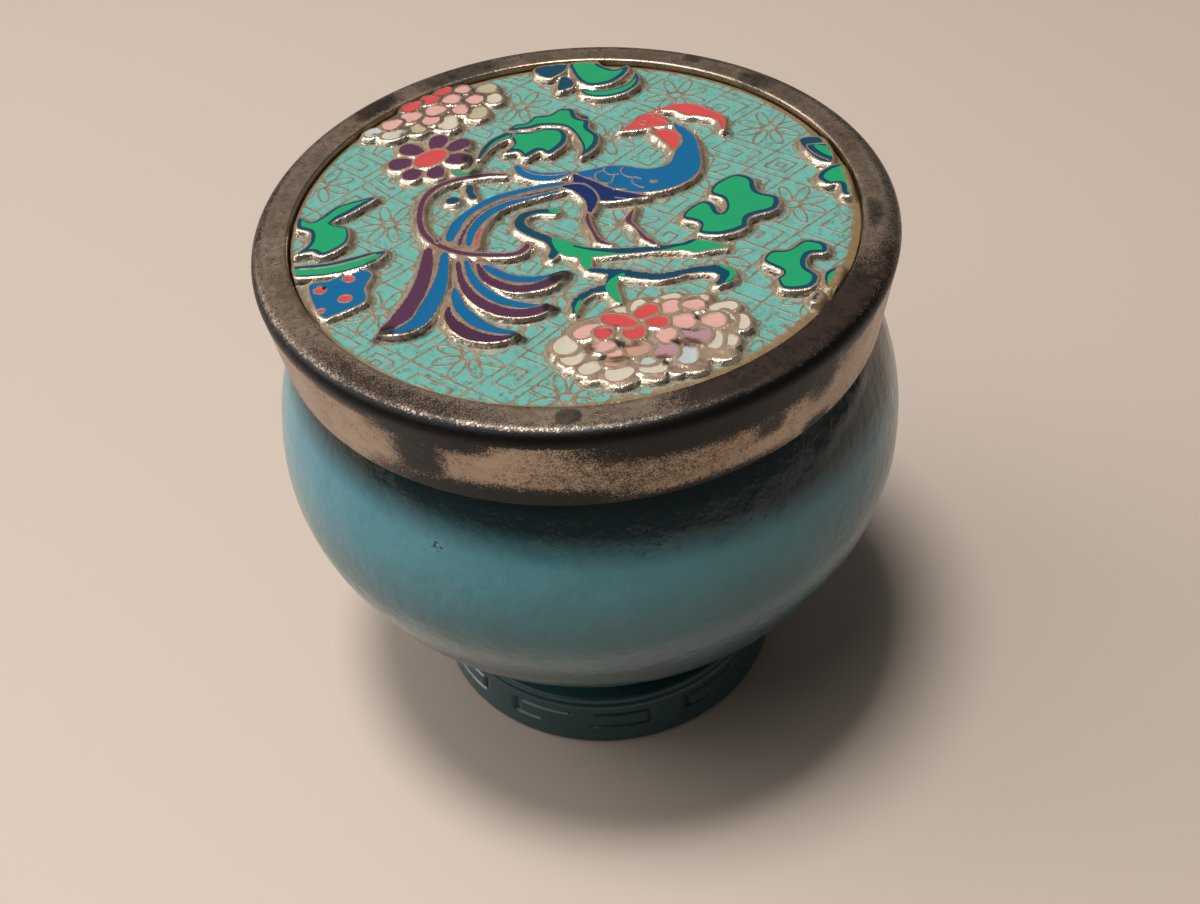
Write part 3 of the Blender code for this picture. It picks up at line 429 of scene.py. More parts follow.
def picture_cells(figures):
    """Cells of enamel in the order they are laid, the later ones over the earlier ones."""
    cells = []
    petal_colours = (OFF_WHITE, PINK, OLIVE, MAUVE, TAN_PINK, COOL_WHITE)
    twig_count = len(twigs())
    first_leaf = len(figures) - len(LEAF_EDGES)
    for index, (outline, _, colour) in enumerate(figures):
        if colour is None:
            continue
        border = 0.24 if colour in petal_colours else 0.12
        if 0 < index < twig_count:
            border = 0.0
        if colour is CORAL:
            border = 0.2
        cells.append(make_cell(outline, 0.0, (0, 0), colour, border))
        if colour is NAVY and index >= twig_count:
            inset, shift = LEAF_EDGES[index - first_leaf]
            if inset:
                cells.append(make_cell(outline, inset, shift, GREEN))

    def line(points, widths, colour, border=0.1, hatch=0.0):
        spine = smooth_line(points, False, STEP)
        cells.append(make_cell(stroke(points, widths), 0.0, (0, 0), colour, border, hatch, spine))

    # Tail
    line([(-0.9, 5.6), (-4, 5.25), (-8.2, 4.1), (-11.4, 2.4), (-13.4, 0.2), (-14.2, -2.2), (-14.5, -3.8)],
         [0.8, 1.0, 1.2, 1.6, 1.8, 1.6, 1.1], BLUE)
    line([(-1.6, 4.6), (-3.5, 4.1), (-6.5, 3.4), (-8.5, 2.7), (-10.5, 1.3), (-12, -0.7), (-13, -3),
          (-13.4, -4.9)], 0.6, PURPLE, 0.04, 0.2)
    line([(-1.5, 4.1), (-5, 3.1), (-7, 2.6), (-9.5, 1.2), (-11, -0.6), (-12, -2.8), (-12.3, -5.1)],
         [0.7, 0.9, 1.15, 1.3, 1.3, 1.2, 0.8], BLUE)
    line([(-10.8, -2), (-11.3, -4), (-11.4, -6.2)], 0.4, CORAL, 0.04)
    line([(-14.6, -0.6), (-15.4, -2.4), (-15.9, -3.7)], [0.3, 0.9, 0.9], PURPLE, 0.06, 0.3)
    line([(-16.95, -5.2), (-17.1, -8), (-17.5, -11), (-18.3, -14), (-19.4, -16.5), (-21, -18.2),
          (-22, -18.9)], [1.1, 1.7, 1.85, 2.1, 2.3, 1.7, 0.7], PURPLE, 0.08, 0.25)
    line([(-15.1, -6.3), (-15.3, -10), (-15.8, -13), (-16.65, -15.8), (-17.6, -17.8), (-19.3, -19),
          (-20.8, -19.6)], [1.1, 1.6, 2.1, 2.4, 2.2, 1.4, 0.7], BLUE)
    line([(-10.5, -9.2), (-9.2, -10.6), (-7.5, -11.7), (-5.6, -12.3), (-4, -12.2), (-2.9, -11.8)],
         [1.0, 1.35, 1.5, 1.4, 1.0, 0.5], BLUE)
    line([(-11.3, -8.8), (-10.5, -11.2), (-9, -12.8), (-7.3, -13.7), (-5.4, -13.8), (-3.4, -13.1),
          (-1.9, -12)], [0.6, 1.15, 1.4, 1.45, 1.45, 1.4, 0.9], PURPLE, 0.05, 0.6)
    line([(-12.6, -8), (-12.2, -10.2), (-11.2, -12.8), (-9.6, -14.9), (-7.6, -16.3), (-5.5, -17),
          (-4, -16.9)], [0.8, 1.05, 1.3, 1.4, 1.3, 1.0, 0.4], BLUE)
    line([(-13.5, -8), (-13.2, -11), (-12.3, -13.7), (-10.8, -15.9), (-8.9, -17.4), (-6.5, -18.1),
          (-4.5, -17.8), (-3.6, -17.1)], [0.7, 0.95, 1.3, 1.55, 1.65, 1.55, 1.5, 0.9], PURPLE, 0.05, 0.4)
    line([(-13.9, -12.6), (-13.7, -14.5), (-13, -16.5), (-11.9, -18.3), (-10.3, -19.9), (-8.5, -20.9),
          (-7.2, -21.3)], [0.4, 1.4, 1.8, 1.95, 1.65, 1.2, 0.9], BLUE)
    line([(-14.6, -16), (-14.4, -18), (-13.2, -20), (-11.5, -21.3), (-9.5, -22), (-7.8, -21.9)],
         [0.5, 1.25, 1.8, 1.8, 1.3, 0.7], PURPLE, 0.05, 1.0)

    # Twigs: green beside navy
    line([(-2.6, 0.7), (-2.1, 0.3), (-2.1, -0.4)], [0.9, 1.0, 0.4], GREEN, 0.0)
    line([(-7.6, -0.6), (-7.1, -1.9)], [0.5, 0.4], GREEN, 0.0)
    line([(-2.0, -5.6), (-1.2, -7.0), (-1.4, -8.4)], [0.5, 1.6, 1.5], GREEN, 0.0)
    line([(-0.3, -6.7), (1.5, -7.5), (4.0, -8.1), (6.0, -8.4), (9.0, -8.45), (11.0, -8.2), (12.6, -7.9),
          (14.0, -7.0)], [0.3, 0.4, 0.8, 1.0, 0.9, 0.6, 0.5, 0.4], NAVY, 0.0)
    line([(4.9, -12.6), (4.2, -13.4), (3.5, -14.2), (3.3, -15.2), (3.8, -16.4), (4.2, -17.6)],
         [0.5, 1.1, 1.1, 1.0, 0.8, 0.7], GREEN, 0.0)
    line([(15.9, -12.7), (16.9, -13.5), (16.9, -14.5), (16.1, -15.4)], [0.3, 0.7, 0.7, 0.3], GREEN, 0.0)
    line([(-0.1, -16.7), (-0.5, -18.0), (-0.4, -18.7)], [0.5, 0.6, 0.4], GREEN, 0.0)

    # Bird
    line([(10.6, 19.6), (12.4, 20), (14.2, 20.1), (15.9, 19.3), (17.4, 18.5), (19.2, 17), (19.45, 15.4),
          (19.4, 14.1)], [0.3, 0.7, 1.7, 2.7, 1.8, 1.2, 0.8, 0.3], CORAL, 0.06)

    # Green of the two slips at the right edge
    cells.append(make_cell(closed([(29.8, 9.0), (31.2, 8.6), (31.6, 6.4), (30.5, 7.4)]), 0.0, (0, 0),
                           GREEN))
    line([(28.5, -15.5), (27.6, -16.4), (27.2, -17.9)], [0.5, 0.9, 0.6], GREEN, 0.0)

    # Vein and tip of the leaf at the left edge
    line([(-28.9, 1.3), (-28.0, 2.4), (-26.6, 3.4), (-24.6, 5.2)], [0.3, 0.6, 0.7, 0.5], NAVY, 0.0)

    # Blue bloom
    for x, y, radius in ((-25.9, -9.3, 0.7), (-26.1, -12.8, 0.8), (-29.0, -11, 0.7), (-28.6, -14.6, 0.45)):
        cells.append(make_cell(oval((x, y), radius, radius * 0.85), 0.0, (0, 0), CORAL, 0.08))
    cells.append(make_cell(oval((-28.6, -10.6), 0.28, 0.28), 0.0, (0, 0), BLACK, 0.0))
    return cells


def picture_wires():
    """Thin metal lines on the tops of the figures, as (line, half width)."""
    wires = []

    def wire(points, half=0.1):
        wires.append((smooth_line(points, False, STEP), half))

    wire([(4.2, 8.1), (4.0, 7.5), (3.1, 7.0), (3.0, 6.0), (3.6, 5.1), (4.4, 4.8)])
    wire([(4.1, 7.4), (4.7, 6.6), (5.5, 6.5)])
    wire([(5.3, 6.4), (5.0, 5.5), (4.9, 5.0)])
    wire([(6.5, 7.9), (6.1, 7.2), (6.4, 6.2), (7.2, 5.6), (7.9, 5.5), (8.4, 5.1)])
    wire([(7.5, 5.6), (7.3, 4.6), (7.9, 3.7), (8.6, 3.3)])
    wire([(4.9, 3.5), (6.4, 3.35)], 0.08)
    wire([(9.6, 4.4), (10.2, 4.4)], 0.28)
    wire([(5.0, 1.8), (6.5, 1.3), (8.0, 1.1)], 0.06)
    wire([(-5.8, 9.2), (-4.2, 7.9), (-2.0, 7.4), (-0.2, 7.6)], 0.06)
    wire([(31.3, 9.2), (29.3, 9.3), (28.9, 8.8), (29.6, 7.2), (31.0, 5.6)], 0.09)
    wire([(-31.6, -7.0), (-28.5, -7.0), (-25.6, -6.3), (-23.0, -5.4)], 0.1)
    angles = np.arange(0, 13) * math.tau / 12
    wires.append((np.stack([9.7 + 0.5 * np.cos(angles), 17.3 + 0.38 * np.sin(angles)], 1), 0.1))
    wire([(10.9, 18.9), (11.5, 18.0), (12.4, 17.2)], 0.07)
    return wires


# Tarnish and dirt: colour, strength, place, long and short radius, turn
STAINS = [(BLACK, 0.95, -2.0, -11.9, 1.6, 1.0, 40), (BLACK, 0.9, -3.3, -17.4, 1.0, 0.9, 0),
          (BLACK, 0.8, -7.0, -21.9, 1.2, 0.7, 0), (BLACK, 0.9, -21.6, -19.4, 1.6, 0.8, 30),
          (BLACK, 0.7, -18.6, -19.9, 2.6, 0.6, 15), (BROWN, 0.8, 5.2, -24.9, 1.2, 0.5, 0),
          (BROWN, 0.9, 11.0, -25.4, 1.6, 0.7, -20), (BROWN, 0.8, 3.4, -27.2, 1.4, 0.6, 0),
          (BROWN, 0.7, 0.4, -25.0, 0.9, 1.2, 0), (BLACK, 1.0, 8.3, -28.2, 0.45, 0.4, 0),
          (BROWN, 0.8, 8.0, -27.4, 1.0, 0.5, 0), (BLACK, 0.8, 3.7, -24.6, 0.6, 1.1, 20),
          (BLACK, 0.8, 9.6, -25.2, 0.9, 0.4, -30), (BLACK, 0.8, 1.6, -26.7, 0.7, 0.6, 0),
          (BLACK, 0.7, 12.2, -21.2, 0.4, 1.2, 10), (BLACK, 0.7, 11.2, -23.4, 1.4, 0.25, -10),
          (BLACK, 0.6, 3.2, -22.4, 0.7, 0.8, 0), (BLACK, 0.8, -12.4, 12.6, 0.8, 1.2, 15),
          (BLACK, 0.8, -11.6, 9.4, 0.9, 1.2, 0), (BLACK, 0.5, -12.0, 15.4, 0.6, 1.6, 10),
          (BLACK, 0.8, 2.2, 20.6, 0.7, 1.1, 30), (BLACK, 0.5, -7.8, 27.3, 0.8, 1.8, 30),
          (BLACK, 0.9, 31.6, -15.9, 0.7, 0.5, 0), (BLACK, 0.7, -20.6, 19.3, 1.0, 0.5, 40),
          (BLACK, 0.7, -24.2, 19.8, 0.9, 0.35, 20), (BROWN, 0.5, 17.4, -15.0, 0.6, 1.6, -20),
          (BLACK, 0.6, -23.2, -7.0, 1.1, 0.7, 0), (BLACK, 0.5, 20.4, 13.6, 0.6, 1.0, 0)]

# Dull metal among the petals, given the same way
FLOWER_DIRT = [(srgb(132, 114, 96), 0.62, 7.0, -23.8, 10.6, 5.6, 0),
               (srgb(62, 52, 46), 0.66, -16.4, 24.0, 8.2, 4.6, 32),
               (srgb(150, 116, 100), 0.5, -17.0, 13.3, 5.2, 4.6, 0)]


# Flush wire pattern of the ground

FLOWER_PLACES = {(1, 1): (14.3, 24.2), (2, 0): (25.2, 14.6), (2, -2): (25.6, -1.6), (-1, 1): (-5.8, 24.5),
                 (-3, -1): (-21.9, 1.0), (-2, -4): (-12.3, -23.8), (-4, 0): (-30.5, 10.5)}
LATTICE_X, LATTICE_Y, LATTICE_START = 10.1, 8.3, (5.4, 13.4)
BAND = 0.37


def lattice_point(across, up):
    """Place of a point of the diaper, whose lattice is drawn a little unevenly."""
    x = LATTICE_START[0] + LATTICE_X * across
    y = LATTICE_START[1] + LATTICE_Y * up
    total, shift = 0.0, np.zeros(2)
    for (k, l), place in FLOWER_PLACES.items():
        regular = np.array([LATTICE_START[0] + LATTICE_X * k, LATTICE_START[1] + LATTICE_Y * l])
        weight = 1 / (((x - regular[0]) ** 2 + (y - regular[1]) ** 2) + 30.0) ** 1.5
        shift += weight * (np.array(place) - regular)
        total += weight
    return np.array([x, y]) + shift / total


def ground_lines():
    """Wires of the ground: diamonds with keys, small squares at the crossings, and flowers."""
    lines = []

    def from_uv(pairs):
        return [tuple(lattice_point((u + v) / 2, (u - v) / 2)) for u, v in pairs]

    def straight(start, end):
        count = max(2, round(math.dist(start, end) * 8))
        u = np.linspace(start[0], end[0], count)
        v = np.linspace(start[1], end[1], count)
        lines.append(np.array(from_uv(zip(u, v))))

    def chain(pairs):
        for start, end in zip(pairs, pairs[1:]):
            straight(start, end)

    reach = range(-9, 10)
    for odd in [n for n in reach if n % 2]:
        for side in (-BAND, BAND):
            straight((odd + side, -9), (odd + side, 9))
            straight((-9, odd + side), (9, odd + side))
    for u in [n for n in reach if n % 2]:
        for v in [n for n in reach if n % 2]:
            for half in (0.2, 0.07):
                chain([(u - half, v - half), (u + half, v - half), (u + half, v + half),
                       (u - half, v + half), (u - half, v - half)])
    for u in reach:
        for v in reach:
            if (u + v) % 2:
                if u % 2:
                    key = [(-0.37, 0.45), (0.2, 0.45), (0.2, -0.3), (-0.2, -0.3), (-0.2, 0.2), (0.02, 0.2),
                           (0.02, -0.05)]
                else:
                    key = [(0.45, -0.37), (0.45, 0.2), (-0.3, 0.2), (-0.3, -0.2), (0.2, -0.2), (0.2, 0.02),
                           (-0.05, 0.02)]
                chain([(u + a, v + b) for a, b in key])
            elif u % 2 == 0:
                centre = lattice_point((u + v) / 2, (u - v) / 2)
                rings = [oval(centre, 0.8, 0.65)]
                for angle in range(12, 372, 45):
                    turn = math.radians(angle)
                    middle = centre + 2.6 * np.array([math.cos(turn), 0.84 * math.sin(turn)])
                    rings.append(oval(middle, 1.55, 0.62, angle))
                lines += [np.vstack([ring, ring[:1]]) for ring in rings]
    return [line for line in lines if (np.linalg.norm(line, axis=1) < PLAQUE_RADIUS + 2).any()]


def line_distance(points, lines):
    """Distance from each point to the nearest of the lines, up to 1 mm."""
    starts = np.vstack([line[:-1] for line in lines])
    ends = np.vstack([line[1:] for line in lines])
    inside = np.minimum(np.linalg.norm(starts, axis=1), np.linalg.norm(ends, axis=1)) < PLAQUE_RADIUS + 1
    starts, ends = starts[inside], ends[inside]
    result = np.full(len(points), 1.0)
    cell = 3.0
    squares = np.floor(points / cell)
    for column in np.unique(squares[:, 0]):
        for row in np.unique(squares[:, 1]):
            here = np.flatnonzero((squares[:, 0] == column) & (squares[:, 1] == row))
            if not len(here):
                continue
            low = np.array([column * cell - 1, row * cell - 1])
            high = low + cell + 2
            near = np.all((np.maximum(starts, ends) > low) & (np.minimum(starts, ends) < high), axis=1)
            if not near.any():
                continue
            a, along = starts[near], ends[near] - starts[near]
            offset = points[here][:, None, :] - a[None]
            share = np.clip((offset * along).sum(2) / np.maximum((along ** 2).sum(1), 1e-12), 0, 1)
            gap = np.sqrt(((offset - share[..., None] * along) ** 2).sum(2).min(1))
            result[here] = np.minimum(gap, 1.0)
    return result


# The plaque

def plaque_plan(figures, cells, wires, lines):
    """Every line that the triangles of the plaque's top follow, and how many points its border has."""
    plan = Plan()
    border_count = 300
    angles = np.arange(border_count) * math.tau / border_count
    border = PLAQUE_RADIUS * np.stack([np.cos(angles), np.sin(angles)], 1)
    plan.points += list(border)
    plan.edges += [(step, (step + 1) % border_count) for step in range(border_count)]
    for index, (outline, rise, _) in enumerate(figures):
        height, _, _ = relief(outline, figures, index)
        plan.add(outline, height < rise + 0.001)
        for share in (0.25, 0.5, 0.75, 1.0):
            line, sound = moved_line(outline, SLOPE * share)
            height, _, _ = relief(line, figures, index)
            plan.add(line, sound & (height <= rise * slope_share(-SLOPE * share) + 0.01))
        line, sound = moved_line(outline, -LINE_REACH)
        height, _, _ = relief(line, figures, index)
        plan.add(line, sound & (height <= rise + 0.001))
    for cell in cells:
        if cell["inset"]:
            plan.add(*moved_line(cell["outline"], -cell["inset"]))
        else:
            plan.add(cell["outline"], np.ones(len(cell["outline"]), bool))
            plan.add(*moved_line(cell["outline"], -0.22))
        if cell["spine"] is not None:
            plan.add(cell["spine"], np.ones(len(cell["spine"]), bool), False)
    for line, half in wires:
        add_band(plan, line, half + 0.1, np.ones(len(line), bool))
    for line in lines:
        _, _, nearest = relief(line, figures)
        add_band(plan, line, LINE_REACH, nearest < -SLOPE)
    return plan, border_count


def add_band(plan, line, half, keep):
    """A line and the two sides of the narrow band round it."""
    along = np.gradient(line, axis=0)
    along /= np.maximum(np.linalg.norm(along, axis=1), 1e-9)[:, None]
    side = np.stack([-along[:, 1], along[:, 0]], 1)
    for reach in (-half, 0.0, half):
        plan.add(line + side * reach, keep, False)


def side_offset(points, spine):
    """How far each point is to the side of a line, with a sign."""
    start, along = spine[:-1], np.diff(spine, axis=0)
    offset = points[:, None, :] - start[None]
    share = np.clip((offset * along).sum(2) / np.maximum((along ** 2).sum(1), 1e-12), 0, 1)
    gap = offset - share[..., None] * along
    nearest = (gap ** 2).sum(2).argmin(1)
    chosen = np.arange(len(points))
    away, forward = gap[chosen, nearest], along[nearest]
    turn = forward[:, 0] * away[:, 1] - forward[:, 1] * away[:, 0]
    return np.sign(turn) * np.linalg.norm(away, axis=1)


def oval_reach(points, x, y, long_radius, short_radius, turn):
    """How far each point is from the middle of an oval, where 1 is on the oval itself."""
    cosine, sine = math.cos(math.radians(turn)), math.sin(math.radians(turn))
    across, up = points[:, 0] - x, points[:, 1] - y
    along = (across * cosine + up * sine) / long_radius
    aside = (up * cosine - across * sine) / short_radius
    return np.hypot(along, aside)


def lay_colour(values, colour, amount):
    """Give a colour to the points where its amount is above the one that they have."""
    stronger = amount > values[:, 3]
    values[stronger, :3] = colour
    values[stronger, 3] = amount[stronger]


def stain_values(points, depth, glint_side):
    """Colour of the tarnish at each point, and how strong it is, kept lighter on the slopes where glints are
    painted.
    """
    values = np.zeros((len(points), 4))
    for colour, strength, *place in STAINS:
        lay_colour(values, colour, strength * np.clip(1.6 - oval_reach(points, *place), 0, 1))
    edge = PLAQUE_RADIUS - np.linalg.norm(points, axis=1)
    width = border_wear(np.degrees(np.arctan2(points[:, 1], points[:, 0])))
    lay_colour(values, GOLD, 0.78 * np.clip(1.2 - edge / width, 0, 1))
    # Less dirt among the petals on the front-facing slopes, where glints are painted.
    bare = (depth < 0.03) * (1 - 0.7 * glint_side)
    for colour, strength, *place in FLOWER_DIRT:
        lay_colour(values, colour, strength * np.clip(4 * (1.1 - oval_reach(points, *place)), 0, 1) * bare)
    return values


def border_wear(angle):
    """Width of the worn, golden-brown zone along the border, by the angle round the plaque in degrees."""
    return np.interp(angle, [-180, -120, -95, -60, -20, 20, 60, 100, 150, 180],
                     [0.4, 0.5, 0.9, 1.7, 1.6, 1.2, 0.7, 0.8, 0.5, 0.4])


def fill_points(plan, spacing):
    """Points spread over the plaque, except close to the plan's own."""
    tree = kdtree.KDTree(len(plan.points))
    for number, (x, y) in enumerate(plan.points):
        tree.insert((x, y, 0), number)
    tree.balance()
    extra = []
    row = 0
    y = -PLAQUE_RADIUS
    while y < PLAQUE_RADIUS:
        x = -PLAQUE_RADIUS + (row % 2) * spacing / 2
        while x < PLAQUE_RADIUS:
            if math.hypot(x, y) < PLAQUE_RADIUS - 0.3 and tree.find((x, y, 0))[2] > 0.45 * spacing:
                extra.append((x, y))
            x += spacing
        y += spacing * 0.866
        row += 1
    return extra


def ripple(points, size, seed):
    """Smooth noise at each point, with waves about size millimetres long."""
    return np.array([noise.noise(Vector((x / size, y / size, seed))) for x, y in points])


def add_piece(name, mesh, material, node, sharp_angle=35):
    """Make an object of a mesh, give it its material, and hide the CAD node that it replaces."""
    mesh.materials.append(material)
    mesh.shade_smooth()
    if sharp_angle:
        mesh.set_sharp_from_angle(angle=math.radians(sharp_angle))
    thing = bpy.data.objects.new(name, mesh)
    bpy.context.scene.collection.objects.link(thing)
    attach(thing, "root")
    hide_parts(node)
    return thing


def add_values(mesh, name, values, domain="POINT"):
    """Store a number or a colour for each point or corner of a mesh."""
    kind, field = ("FLOAT", "value") if values.ndim == 1 else ("FLOAT_COLOR", "color")
    attribute = mesh.attributes.new(name, kind, domain)
    attribute.data.foreach_set(field, values.astype(np.float32).ravel())


def lay_cells(places, centres, cells, depth, ground):
    """Depth in the enamel at each point, place across a hatched cell, and colour of each triangle."""
    tint = np.tile(np.array([*TURQUOISE, 0.0]), (len(centres), 1))
    across = np.zeros(len(places))
    reach = 0.7
    for cell in cells:
        distance = near_distance(places, cell["outline"], reach) - cell["inset"]
        inside = distance > 0
        if cell["border"]:
            outside = np.minimum(depth, -distance - cell["border"])
            depth = np.where(inside, distance - cell["border"], np.where(ground, depth, outside))
        elif not cell["inset"]:
            depth = np.where(inside & ~ground, np.maximum(depth, distance), depth)
        if cell["hatch"]:
            near = distance > -0.1
            across[near] = side_offset(places[near], cell["spine"])
        middle = near_distance(centres, cell["outline"], reach) - cell["inset"]
        tint[middle > 0] = (*cell["colour"], cell["hatch"])
    return depth, across, tint


def lay_wires(places, wires, depth, ground):
    """Depth in the enamel with the wires laid through it, and how far they stand up."""
    rise = np.zeros(len(places))
    for line, half in wires:
        gap = np.full(len(places), FAR)
        near = np.all((places > line.min(0) - 1) & (places < line.max(0) + 1), axis=1) & ~ground
        gap[near] = np.abs(side_offset(places[near], line))
        depth = np.minimum(depth, np.where(gap < 1, gap - half, depth))
        rise = np.maximum(rise, 0.05 * np.clip(1 - gap / (half + 0.1), 0, 1))
    return depth, rise


def plaque_mesh(places, rise, triangles, border):
    """The plaque's top from its triangles, with a straight wall down from the border and a flat back."""
    shape = bmesh.new()
    top = [shape.verts.new((x * MM, y * MM, (PLAQUE_GROUND + up) * MM)) for (x, y), up in zip(places, rise)]
    for a, b, c in triangles:
        shape.faces.new((top[a], top[b], top[c]))
    rim = [top[number] for number in border]
    low = [shape.verts.new((vertex.co.x, vertex.co.y, PLAQUE_BOTTOM * MM)) for vertex in rim]
    for step in range(len(rim)):
        after = (step + 1) % len(rim)
        shape.faces.new((rim[step], rim[after], low[after], low[step]))
    shape.faces.new(low)
    bmesh.ops.recalc_face_normals(shape, faces=shape.faces[:])
    mesh = bpy.data.meshes.new("enamel_plaque")
    shape.to_mesh(mesh)
    shape.free()
    return mesh


def make_plaque():
    """The enamel disc, with the values that its material reads at each point."""
    figures = picture_figures()
    cells = picture_cells(figures)
    wires = picture_wires()
    lines = ground_lines()
    plan, border_count = plaque_plan(figures, cells, wires, lines)
    flat = [Vector((x, y)) for x, y in plan.points + fill_points(plan, 0.62)]
    places, _, triangles, sources, _, _ = delaunay_2d_cdt(flat, plan.edges, [], 0, 1e-4)
    places = np.array([tuple(place) for place in places])
    triangles = np.array(triangles)
    edge = PLAQUE_RADIUS - np.linalg.norm(places, axis=1)

    height, own, nearest = relief(places, figures)
    on_line = line_distance(places, lines)
    ground = height <= 0
    depth = np.where(ground, np.minimum(on_line - LINE_HALF, -nearest - SLOPE - 0.1), -0.3)
    depth, across, tint = lay_cells(places, places[triangles].mean(1), cells, depth, ground)
    depth, wire_rise = lay_wires(places, wires, depth, ground)
    sloped = (height > 0) & (own < 0)
    depth = np.where(sloped, np.minimum(depth, np.maximum(own, -0.3)), depth)
    angle = np.degrees(np.arctan2(places[:, 1], places[:, 0]))
    worn = edge - 0.6 * border_wear(angle) + 0.5 * ripple(places, 0.8, 5.0)
    depth = np.minimum(depth, np.minimum(worn, edge - 0.3))

    rise = height + 0.03 * np.clip(1 - on_line / LINE_REACH, 0, 1) * ground + wire_rise
    rise -= 0.035 * np.clip(depth / 0.15, 0, 1) * (height > 0)
    rise += 0.025 * ripple(places, 2.4, 3.0) + 0.02 * ripple(places, 6.0, 9.0)
    rise = np.where(edge < 1e-3, height - 0.05, rise)
    bound = {source: number for number, found in enumerate(sources) for source in found}
    mesh = plaque_mesh(places, rise, triangles, [bound[step] for step in range(border_count)])

    extra = len(mesh.vertices) - len(places)
    normals = np.empty(3 * len(mesh.vertices), np.float32)
    mesh.vertices.foreach_get("normal", normals)
    # Painted glint: slopes that face the front are given bright, smooth metal in the material.
    facing = -normals.reshape(-1, 3)[:len(places), 1]
    glint_side = np.clip((facing - 0.14) / 0.3, 0, 1) * (height > 0.02)
    border_dirt = 0.9 * np.clip(1.15 - edge / 6.0, 0, 1) * np.clip(-places[:, 1] / 12.0, 0.1, 1)
    foot_dirt = 0.8 * np.clip(1 + (nearest + SLOPE) / 1.1, 0, 1)
    wash = ground * np.clip(0.2 + border_dirt + foot_dirt, 0, 1)
    slope = np.where(sloped, own, 0.0)
    add_values(mesh, "depth", np.concatenate([depth, np.full(extra, -1.0)]))
    for name, values in (("slope", slope), ("across", across), ("wash", wash), ("glint_side", glint_side)):
        add_values(mesh, name, np.concatenate([values, np.zeros(extra)]))
    add_values(mesh, "stain_and_painted_light", np.vstack([stain_values(places, depth, glint_side), np.zeros((extra, 4))]))
    corner = np.tile(np.array([*TURQUOISE, 0.0]), (len(mesh.loops), 1))
    corner[:3 * len(triangles)] = np.repeat(tint, 3, axis=0)
    add_values(mesh, "tint", corner, "CORNER")
    return add_piece("enamel_plaque", mesh, enamel_material(), "lid_plaque", 60)


# Materials

class Nodes:
    """Short calls for building a material."""

    def __init__(self, name):
        self.material = bpy.data.materials.new(name)
        self.material.use_nodes = True
        self.tree = self.material.node_tree
        self.shader = self.tree.nodes["Principled BSDF"]

    def node(self, kind, **settings):
        made = self.tree.nodes.new(kind)
        for key, value in settings.items():
            setattr(made, key, value)
        return made

    def link(self, source, target):
        """Join a node's output to an input, or set the input to a value."""
        if hasattr(source, "is_output"):
            self.tree.links.new(source, target)
        else:
            target.default_value = source

    def maths(self, operation, *values, clamp=False):
        made = self.node("ShaderNodeMath", operation=operation, use_clamp=clamp)
        for socket, value in zip(made.inputs, values):
            self.link(value, socket)
        return made.outputs[0]

    def times(self, first, second):
        return self.maths("MULTIPLY", first, second)

    def plus(self, first, second):
        return self.maths("ADD", first, second)

    def scale(self, value, low, high, to_low=0.0, to_high=1.0):
        """A value moved from one range to another and kept within it."""
        made = self.node("ShaderNodeMapRange", clamp=True)
        for socket, given in zip(made.inputs, (value, low, high, to_low, to_high)):
            self.link(given, socket)
        return made.outputs[0]

    def mix(self, share, first, second):
        made = self.node("ShaderNodeMix", data_type="RGBA")
        self.link(share, made.inputs[0])
        for value, socket in ((first, made.inputs[6]), (second, made.inputs[7])):
            self.link(value if hasattr(value, "is_output") else (*value, 1.0), socket)
        return made.outputs[2]

    def mix_value(self, share, first, second):
        made = self.node("ShaderNodeMix", data_type="FLOAT")
        for value, socket in zip((share, first, second), made.inputs[:1] + made.inputs[2:4]):
            self.link(value, socket)
        return made.outputs[0]

    def noise(self, size, detail=3.0, roughness=0.55, seed=0.0):
        """Noise from 0 to 1 whose features are about size millimetres across."""
        place = self.node("ShaderNodeTexCoord")
        made = self.node("ShaderNodeTexNoise", noise_dimensions="4D")
        self.link(place.outputs["Object"], made.inputs["Vector"])
        self.link(seed, made.inputs["W"])
        self.link(1000.0 / size, made.inputs["Scale"])
        self.link(detail, made.inputs["Detail"])
        self.link(roughness, made.inputs["Roughness"])
        return made.outputs[0]

    def ragged(self, amount, *settings, seed):
        """Noise round zero, to make an edge ragged."""
        return self.times(self.maths("SUBTRACT", self.noise(*settings, seed=seed), 0.5), amount)

    def along(self, axis):
        """Place along an axis in millimetres."""
        place = self.node("ShaderNodeTexCoord")
        parts = self.node("ShaderNodeSeparateXYZ")
        self.link(place.outputs["Object"], parts.inputs[0])
        return self.times(parts.outputs[axis], 1000.0)

    def attribute(self, name, output="Fac"):
        made = self.node("ShaderNodeAttribute", attribute_name=name)
        return made.outputs[output]

    def bump(self, height, distance, strength=1.0):
        made = self.node("ShaderNodeBump")
        self.link(height, made.inputs["Height"])
        self.link(distance, made.inputs["Distance"])
        self.link(strength, made.inputs["Strength"])
        self.link(made.outputs[0], self.shader.inputs["Normal"])

    def put(self, name, value):
        """Set an input of the shader, or link a node to it."""
        self.link(value if hasattr(value, "is_output") or not isinstance(value, tuple) else (*value, 1.0),
                  self.shader.inputs[name])


